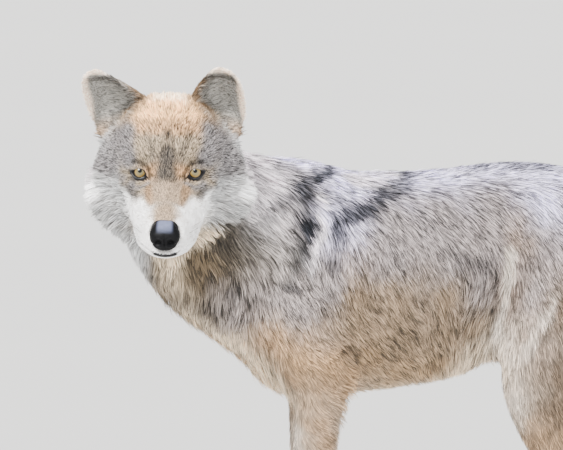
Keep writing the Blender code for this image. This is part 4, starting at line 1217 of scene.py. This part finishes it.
def low_skin():
    """A plain copy of the skin's shape, unwrapped piece by piece.

    For each piece of the coat it gives a search tree, the corners of its triangles and their places
    on the map.
    """
    shape = put("low_skin", skin.data.copy())
    apply_modifier(shape, "DECIMATE", ratio=MAP_KEPT)
    middles = np.array([face.center for face in shape.data.polygons])
    piece = piece_of(middles, solid.look_up(middles)[0])
    shape.data.uv_layers.new(name="map")
    only(shape)
    for index in range(len(PIECES)):
        bpy.ops.object.mode_set(mode="EDIT")
        bpy.ops.mesh.select_all(action="DESELECT")
        bpy.ops.object.mode_set(mode="OBJECT")
        shape.data.polygons.foreach_set("select", (piece == index).tolist())
        bpy.ops.object.mode_set(mode="EDIT")
        bpy.ops.uv.smart_project(angle_limit=1.15, island_margin=0.004)
        bpy.ops.object.mode_set(mode="OBJECT")
    faces = triangles(shape)
    flat = np.empty(len(shape.data.loops) * 2, np.float32)
    shape.data.uv_layers["map"].data.foreach_get("uv", flat)
    loops = np.array([t.loops for t in shape.data.loop_triangles])
    owners = piece[np.array([t.polygon_index for t in shape.data.loop_triangles])]
    points, maps = get_points(shape), []
    for index in range(len(PIECES)):
        own = faces[owners == index]
        tree = BVHTree.FromPolygons(points.tolist(), own.tolist())
        maps.append((tree, points[own], flat.reshape(-1, 2)[loops[owners == index]]))
    bpy.data.objects.remove(shape)
    return maps


def map_places(roots, tree, corners, uv):
    """The place on the map of the triangle point that is nearest to each root."""
    hit = [tree.find_nearest(root) for root in roots.tolist()]
    face = np.array([h[2] for h in hit])
    place = np.array([h[0] for h in hit])
    a, b, c = corners[face].transpose(1, 0, 2)
    ab, ac, ap = b - a, c - a, place - a
    d00, d01, d11 = (ab * ab).sum(1), (ab * ac).sum(1), (ac * ac).sum(1)
    d20, d21 = (ap * ab).sum(1), (ap * ac).sum(1)
    scale = np.maximum(d00 * d11 - d01 * d01, 1e-18)
    v, w = (d11 * d20 - d01 * d21) / scale, (d00 * d21 - d01 * d20) / scale
    share = np.clip(np.stack([1 - v - w, v, w], axis=1), 0, 1)[:, :, None]
    return (uv[face] * share).sum(1)


def coat_mesh(name, line, width, sideways, normals, colours, uv, long):
    """Each tuft as a thin leaf: two or three pairs of corners, and a tip."""
    count = len(line)
    pairs = (0, 1, 2) if long else (0, 2)
    corners = 2 * len(pairs) + 1
    half = (width[:, None] * WIDTHS)[:, pairs, None] * sideways[:, None] / 2
    points = np.empty((count, corners, 3))
    points[:, 0:-1:2], points[:, 1::2] = line[:, pairs] - half, line[:, pairs] + half
    points[:, -1] = line[:, 3]
    start = np.arange(count)[:, None] * corners
    faces = [start + (2 * k, 2 * k + 2, 2 * k + 3, 2 * k + 1) for k in range(len(pairs) - 1)]
    tips = start + (corners - 3, corners - 1, corners - 2)
    mesh = bpy.data.meshes.new(name)
    mesh.from_pydata(points.reshape(-1, 3), [], np.concatenate(faces).tolist() + tips.tolist())
    obj = put(name, mesh)
    level = np.array([pair for pair in pairs for _ in (0, 1)] + [3])
    write_colours(mesh, "coat", colours[:, level].reshape(-1, 3))
    write(mesh, "along", np.tile(ALONG[level], count))
    write(mesh, "tuft", np.repeat(rng.random(count), corners))
    # each tuft's corners take a small patch of the map around its root's place
    aside = (np.arange(corners) % 2 - 0.5) * (level < 3)
    patch = np.stack([aside * MAP_PATCH, (ALONG[level] - 0.5) * MAP_PATCH], axis=1)
    corner = np.empty(len(mesh.loops), np.int32)
    mesh.loops.foreach_get("vertex_index", corner)
    places = np.clip(uv[:, None] + patch, 0.0005, 0.9995).reshape(-1, 2)
    mesh.uv_layers.new(name="OFBake").data.foreach_set("uv", places[corner].astype(np.float32).ravel())
    # lit softly, as hair that lies on the body's form
    tilt = aside[None, :, None] * 0.55 * sideways[:, None]
    lit = unit(normals[:, None] + tilt + rng.normal(0, 0.10, (count, 1, 3)))
    mesh.shade_smooth()
    mesh.normals_split_custom_set_from_vertices(lit.reshape(-1, 3))
    return obj


def grow_coat():
    surface, maps = Surface(skin), low_skin()
    fewer, wider = ((1, 1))
    made = []
    for index, (name, (slot, count, long)) in enumerate(PIECES.items()):
        roots, normals = surface.plant(index, count // fewer)
        line, width, sideways, leader = tufts(roots, normals)
        colours = tuft_colours(roots, normals, line, leader)
        obj = coat_mesh(name, line, width * wider, sideways, normals, colours,
                        map_places(roots, *maps[index]), long)
        obj.data.materials.append(COAT_MATERIALS[slot])
        made.append(obj)
    return made


BLACK_SKIN = np.array((0.0035, 0.0035, 0.005))

# slot: its material, with roughness and sheen
COAT_MATERIALS = {
    "coat_face": hair_material("face_hair", 0.62, 0.04),
    "coat_ears": hair_material("ear_hair", 0.64, 0.04),
    "coat_neck": hair_material("mane_hair", 0.58, 0.05),
    "coat_back": hair_material("guard_hair", 0.56, 0.05),
    "coat_tail": hair_material("tail_hair", 0.58, 0.05),
    "coat_legs": hair_material("leg_hair", 0.62, 0.04),
    "coat_paws": hair_material("paw_hair", 0.62, 0.04),
}


def colour_skin():
    """The skin carries the coat's markings, darker as painted shade under the coat, with black lids, lips
    and soles.
    """
    points, normals = get_points(skin), get_normals(skin)
    hues = all_markings(points, normals)
    # the skin leans to the dark hairs and is darkened by 0.85: painted shade under the coat
    colour = (0.45 * hues[:, :3] + 0.55 * hues[:, 3:6]) * 0.85
    p, home = turned(points, HEAD_IN), head_home(points)
    # the parting of the lips, that fades to the sides, then soles, groove under the nose and lips' front
    black = 1 - step(from_line(home, MOUTH), 0.0014, 0.0028)
    black = black * (1 - 0.8 * step(home[:, 0], 0.014, 0.022))
    black = np.maximum(black, 1 - step(points[:, 2], 0.002, 0.005))
    black = np.maximum(black, 1 - step(from_line(home, PHILTRUM), 0.001, 0.002))
    black = np.maximum(black, 1 - step(from_line(home, LIP), 0.0042, 0.0058))
    for side, centre in EYES:
        across, up, ahead = eye_places(p, side, centre)
        near = (ahead > 0) & (np.linalg.norm(p - centre, axis=1) < 0.034)
        rim = 1 - step(lid_edge(across, up) - rim_width(up), -0.4, 0.7)
        tear = 1 - step(np.hypot((across + 15.0) / 4.6, (up + 1.8) / 2.5), 0.7, 1.3)
        tail = 1 - step(np.hypot((across - 15.4) / 3.8, (up - 0.4) / 1.7), 0.7, 1.3)
        black = np.maximum(black, near * np.maximum(rim, np.maximum(tear, tail)))
    colour = colour * (1 - black[:, None]) + BLACK_SKIN * black[:, None]
    write_colours(skin.data, "coat", colour)
    write(skin.data, "moist", black)
    skin.data.materials.append(skin_material())
    skin.data.shade_smooth()


# ---------------------------------------------------------------- eyes, nose, claws and whiskers


CORNEA_RADIUS, CORNEA_BULGE = 0.0080, 0.0007
IRIS_RADIUS = 0.0077                   # the eye's material counts places in iris radii


def eye_material():
    """A round pupil and an amber iris with rays, shaded by the upper lid, in a dark ring."""
    net = Net("amber_eye")
    parts = net.node("ShaderNodeSeparateXYZ", None, net.attribute("eye_place", 1))
    across, up = parts, Value(net, parts.socket.node.outputs[1])
    out = (across * across + up * up) ** 0.5
    lifted = up - 0.20
    pupil = ((across * across + lifted * lifted) ** 0.5).between(0.34, 0.42)
    angle = across.math("ARCTAN2", up)
    round_pupil = net.node("ShaderNodeCombineXYZ", None, angle * 1.6, out * 0.5, 0.3)
    rays = net.noise(9.0, 3, 0.6, round_pupil)
    inner = net.mix(rays, (0.13, 0.11, 0.055), (0.21, 0.18, 0.09))
    outer = net.mix(rays, (0.18, 0.11, 0.026), (0.33, 0.22, 0.06))
    lit = net.mix(out.between(0.45, 0.80), inner, outer)
    # painted shade of the upper lid: the iris darkens towards its top
    iris = net.mix(up.between(0.0, 0.8) * 0.5, lit, (0.05, 0.038, 0.018))
    ringed = net.mix(out.between(0.86, 1.0), iris, (0.012, 0.010, 0.008))
    white = net.mix(out.between(1.02, 1.16), ringed, (0.004, 0.003, 0.003))
    colour = net.mix(pupil, (0.004, 0.004, 0.005), white)
    return net.surface(Base_Color=colour, Roughness=0.30 + rays * 0.1,
                       Coat_Weight=0.6 - out.between(0.95, 1.2) * 0.6, Coat_Roughness=0.02,
                       Specular_IOR_Level=0.1)


def add_eye(name, centre, material):
    """An eyeball with a bulging cornea, that knows how far from the middle of the pupil a place is."""
    look = head_way(*LOOK)
    bpy.ops.object.select_all(action="DESELECT")
    bpy.ops.mesh.primitive_uv_sphere_add(segments=56, ring_count=36, radius=EYEBALL_RADIUS,
                                         location=HEAD @ Vector(centre),
                                         rotation=look.to_track_quat("Z", "Y").to_euler())
    eye = bpy.context.object
    eye.name = name
    bpy.ops.object.transform_apply(location=True, rotation=True, scale=True)
    look = np.array(look)
    offset = get_points(eye) - np.array(HEAD @ Vector(centre))
    sideways = np.array(head_way(1, 0, 0))
    sideways = unit(sideways - sideways @ look * look)
    across, up, ahead = offset @ sideways, offset @ np.cross(sideways, look), offset @ look
    bulge = np.clip(1 - (across ** 2 + up ** 2) / CORNEA_RADIUS ** 2, 0, 1) * (ahead > 0)
    set_points(eye, get_points(eye) + CORNEA_BULGE * bulge[:, None] * look)
    place = np.stack([across, up, ahead], axis=1) / IRIS_RADIUS
    place[ahead < 0, 0] = 3            # the back of the eyeball is far outside the iris
    write(eye.data, "eye_place", place, "FLOAT_VECTOR")
    eye.data.shade_smooth()
    eye.data.materials.append(material)
    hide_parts(name)
    return eye


NOSE_CELL = 0.0009                     # size of the cells in which the nose is made again


def nose_material():
    """Black grained leather, with a painted blue-grey reflection of the sky on top."""
    net = Net("nose_leather")
    cells = net.node("ShaderNodeTexVoronoi", {"feature": "F1"}, net.place(), None, 900.0)
    grain = cells.between(0.1, 0.7)
    shade = net.noise(160, 3)
    sky_reflection_share = net.attribute("upper", 2)
    dark = net.mix(shade, (0.002, 0.002, 0.0025), (0.007, 0.007, 0.008))
    # painted reflection of the sky on the leather's top
    painted_sky_reflection = net.mix(shade, (0.10, 0.112, 0.175), (0.18, 0.20, 0.31))
    bump = net.node("ShaderNodeBump", None, 0.35, 0.0004, Height=grain)
    return net.surface(Base_Color=net.mix(sky_reflection_share, dark, painted_sky_reflection), Roughness=0.42 + shade * 0.16, Normal=bump,
                       Specular_IOR_Level=0.10)


def build_nose():
    """The nose pad, narrower on top, with nostrils, their slits and the groove between them."""
    nose = welded_copy(["nose"], "nose_pad")
    set_points(nose, get_points(nose) + get_normals(nose) * 0.0003)
    apply_modifier(nose, "REMESH", mode="VOXEL", voxel_size=NOSE_CELL)
    points = get_points(nose)
    points = relaxed(nose, points, np.ones(len(points)), 8)
    set_points(nose, points)
    p = head_home(points)
    deep, raised = p[:, 1] - NOSE_LOW[1], p[:, 2] - NOSE_LOW[2]
    height = raised / (NOSE_HIGH[2] - NOSE_LOW[2])
    narrow = np.array(head_way(1, 0, 0)) * turned(points, HEAD_IN)[:, :1]
    points = points - narrow * 0.12 * step(height, 0.5, 1.0)[:, None]
    length = NOSE_HIGH[1] - NOSE_LOW[1]
    front = step(deep, 0.45 * length, length)
    nostril = ((p[:, 0] - 0.0088) / 0.0046) ** 2 + ((raised - 0.0145) / 0.0040) ** 2
    slit = ((p[:, 0] - 0.0150) / 0.0050) ** 2 + ((raised - 0.0105) / 0.0022) ** 2
    groove = np.exp(-(p[:, 0] / 0.0011) ** 2) * (1 - step(height, 0.45, 0.75))
    rim = np.exp(-(nostril - 2.2) ** 2)
    push = front * (0.8 * rim - 5.0 * np.exp(-nostril ** 1.5) - 1.3 * groove)
    push = push - 2.6 * np.exp(-slit) * step(deep, 0.012, 0.026)
    way = get_normals(nose) * 0.5 + np.array(head_way(0, 1, 0)) * 0.5
    set_points(nose, points + way * (push / 1000)[:, None])
    data = nose.data
    # the share of the painted sky reflection: where the nose faces up, on its top, towards the middle
    upper = step(get_normals(nose) @ np.array(head_way(0, 0, 1)), 0.45, 0.98)
    write(data, "upper", upper * step(height, 0.60, 0.92) * (1 - step(p[:, 0], 0.0085, 0.0150)))
    data.shade_smooth()
    data.materials.append(nose_material())
    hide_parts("nose")
    return nose


def horn_material():
    net = Net("claw_horn")
    streak = net.noise(420, 2)
    return net.surface(Base_Color=net.mix(streak, (0.030, 0.026, 0.024), (0.11, 0.095, 0.085)),
                       Roughness=0.30 + streak * 0.2)


CLAW_LENGTH, CLAW_BEND = 0.017, 0.0060
WHISKER_LENGTH = 0.036


def cut_finer(obj, cuts):
    """Cuts every edge of a shape into short ones, so that it can be bent."""
    only(obj)
    bpy.ops.object.mode_set(mode="EDIT")
    bpy.ops.mesh.select_all(action="SELECT")
    bpy.ops.mesh.subdivide(number_cuts=cuts)
    bpy.ops.object.mode_set(mode="OBJECT")


def copied(obj, name, matrix):
    """A copy with its own mesh, moved by a matrix."""
    made = put(name, obj.data.copy())
    made.data.transform(matrix)
    return made


def joined(name, objects):
    """Several objects made one."""
    bpy.ops.object.select_all(action="DESELECT")
    for obj in objects:
        obj.select_set(True)
    bpy.context.view_layer.objects.active = objects[0]
    bpy.ops.object.join()
    objects[0].name = name
    return objects[0]


def build_claws():
    """Four bent claws for each paw."""
    bpy.ops.object.select_all(action="DESELECT")
    bpy.ops.mesh.primitive_cone_add(vertices=14, radius1=0.0030, radius2=0.0005, depth=CLAW_LENGTH,
                                    rotation=(0, -math.pi / 2, 0))
    claw = bpy.context.object
    bpy.ops.object.transform_apply(location=True, rotation=True, scale=True)
    cut_finer(claw, 4)
    p = get_points(claw)
    ahead = 0.5 - p[:, 0] / CLAW_LENGTH
    p[:, 2] -= CLAW_BEND * ahead ** 2
    p[:, 1] *= 0.75
    set_points(claw, p)
    claws = []
    for heel, sideways, side, half_length, half_width in PAWS:
        paw = paw_frame(heel, sideways, side)
        for across, ahead in TOES:
            place = Vector((-half_length * (0.62 + ahead) - 0.0235, half_width * across, 0.0125))
            splay = Matrix.Rotation(math.radians(-9 * across), 4, "Z")
            claws.append(copied(claw, "claw", paw @ Matrix.Translation(place) @ splay))
    bpy.data.objects.remove(claw)
    claws = joined("claws", claws)
    claws.data.shade_smooth()
    claws.data.materials.append(horn_material())
    return claws


def build_whiskers():
    """Three rows of short whiskers on each side of the muzzle, swept back."""
    bpy.ops.object.select_all(action="DESELECT")
    bpy.ops.mesh.primitive_cone_add(vertices=5, radius1=0.00026, radius2=0.00004, depth=WHISKER_LENGTH)
    whisker = bpy.context.object
    cut_finer(whisker, 5)
    p = get_points(whisker)
    p[:, 2] += WHISKER_LENGTH / 2
    p[:, 0] += 3.5 * p[:, 2] ** 2
    set_points(whisker, p)
    made = []
    rows = [(y, z) for z in (-0.049, -0.056, -0.063) for y in (0.104, 0.094, 0.084, 0.074)]
    for side in (-1, 1):
        for y, z in rows:
            near = under.tree.find_nearest(HEAD @ Vector((side * 0.045, y, z)))[0]
            way = head_way(side * 0.62, -0.75 + rng.uniform(-0.1, 0.1), (z + 0.052) * 14)
            turn = way.to_track_quat("Z", "X").to_matrix().to_4x4()
            size = Matrix.Scale(rng.uniform(0.7, 1.1), 4)
            made.append(copied(whisker, "whisker", Matrix.Translation(near) @ turn @ size))
    bpy.data.objects.remove(whisker)
    whiskers = joined("whiskers", made)
    whiskers.data.shade_smooth()
    whiskers.data.materials.append(horn_material())
    return whiskers


colour_skin()
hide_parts(*FLESH)
eye_paint = eye_material()
made = [skin, build_nose(), build_claws(), build_whiskers()]
made += [add_eye("eye_" + name, centre, eye_paint) for name, (_, centre) in zip(("left", "right"), EYES)]
made += grow_coat()
for piece in made:
    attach(piece, "root")

# ---------------------------------------------------------------- camera, floor and light

FRAME_WIDTH = 0.8043                   # metres across the picture at the wolf
FAR = 25.0                             # metres from the wolf to the camera
AZIMUTH, ELEVATION = math.radians(-35), math.radians(4)
ASIDE, RAISED, NEARER = -0.01643, 0.62857, 0.15      # from the body's origin to the middle of the view
away = Vector((math.sin(AZIMUTH) * math.cos(ELEVATION), -math.cos(AZIMUTH) * math.cos(ELEVATION),
               math.sin(ELEVATION)))
rightward = Vector((math.cos(AZIMUTH), math.sin(AZIMUTH), 0))
upward = away.cross(rightward)
aim = BODY.translation + rightward * ASIDE + upward * RAISED + away * NEARER
camera_data = bpy.data.cameras.new("camera")
camera_data.sensor_width, camera_data.lens = 36, 36 * FAR / FRAME_WIDTH
camera_data.clip_start, camera_data.clip_end = 1, 600
camera = put("camera", camera_data)
camera_turn = Matrix((rightward, upward, away)).transposed().to_4x4()
camera.matrix_world = Matrix.Translation(aim + away * FAR) @ camera_turn
bpy.context.scene.camera = camera


def studio_material():
    """A plain pale floor."""
    net = Net("studio_floor")
    patch = net.noise(0.6, 2)
    colour = net.mix(patch, (0.60, 0.60, 0.60), (0.64, 0.64, 0.63))
    return net.surface(Base_Color=colour, Roughness=0.9 + patch * 0.05)


bpy.ops.object.select_all(action="DESELECT")
bpy.ops.mesh.primitive_plane_add(size=400)
floor = bpy.context.object
floor.name = "floor"
floor.data.materials.append(studio_material())


def soft_sun(name, towards, strength, spread, colour, glints=True):
    """Even, soft light from one side, that reaches the whole floor."""
    data = bpy.data.lights.new(name, "SUN")
    data.energy, data.angle, data.color = strength, math.radians(spread), colour
    light = put(name, data)
    light.matrix_world = towards.to_track_quat("Z", "Y").to_matrix().to_4x4()
    light.visible_glossy = glints


soft_sun("key", away + rightward * -0.50 + Vector((0, 0, 1.05)), 9.0, 20, (1.0, 0.985, 0.96))
soft_sun("fill", away + rightward * 0.9 + Vector((0, 0, 0.4)), 2.2, 60, (1.0, 1.0, 1.0), False)
soft_sun("back", rightward * 0.4 - away + Vector((0, 0, 0.9)), 2.4, 30, (1.0, 0.99, 0.97), False)

world = bpy.data.worlds.new("studio")
world.use_nodes = True
sky = world.node_tree.nodes["Background"]
sky.inputs["Color"].default_value = (0.86, 0.87, 0.89, 1)
sky.inputs["Strength"].default_value = 0.65
bpy.context.scene.world = world
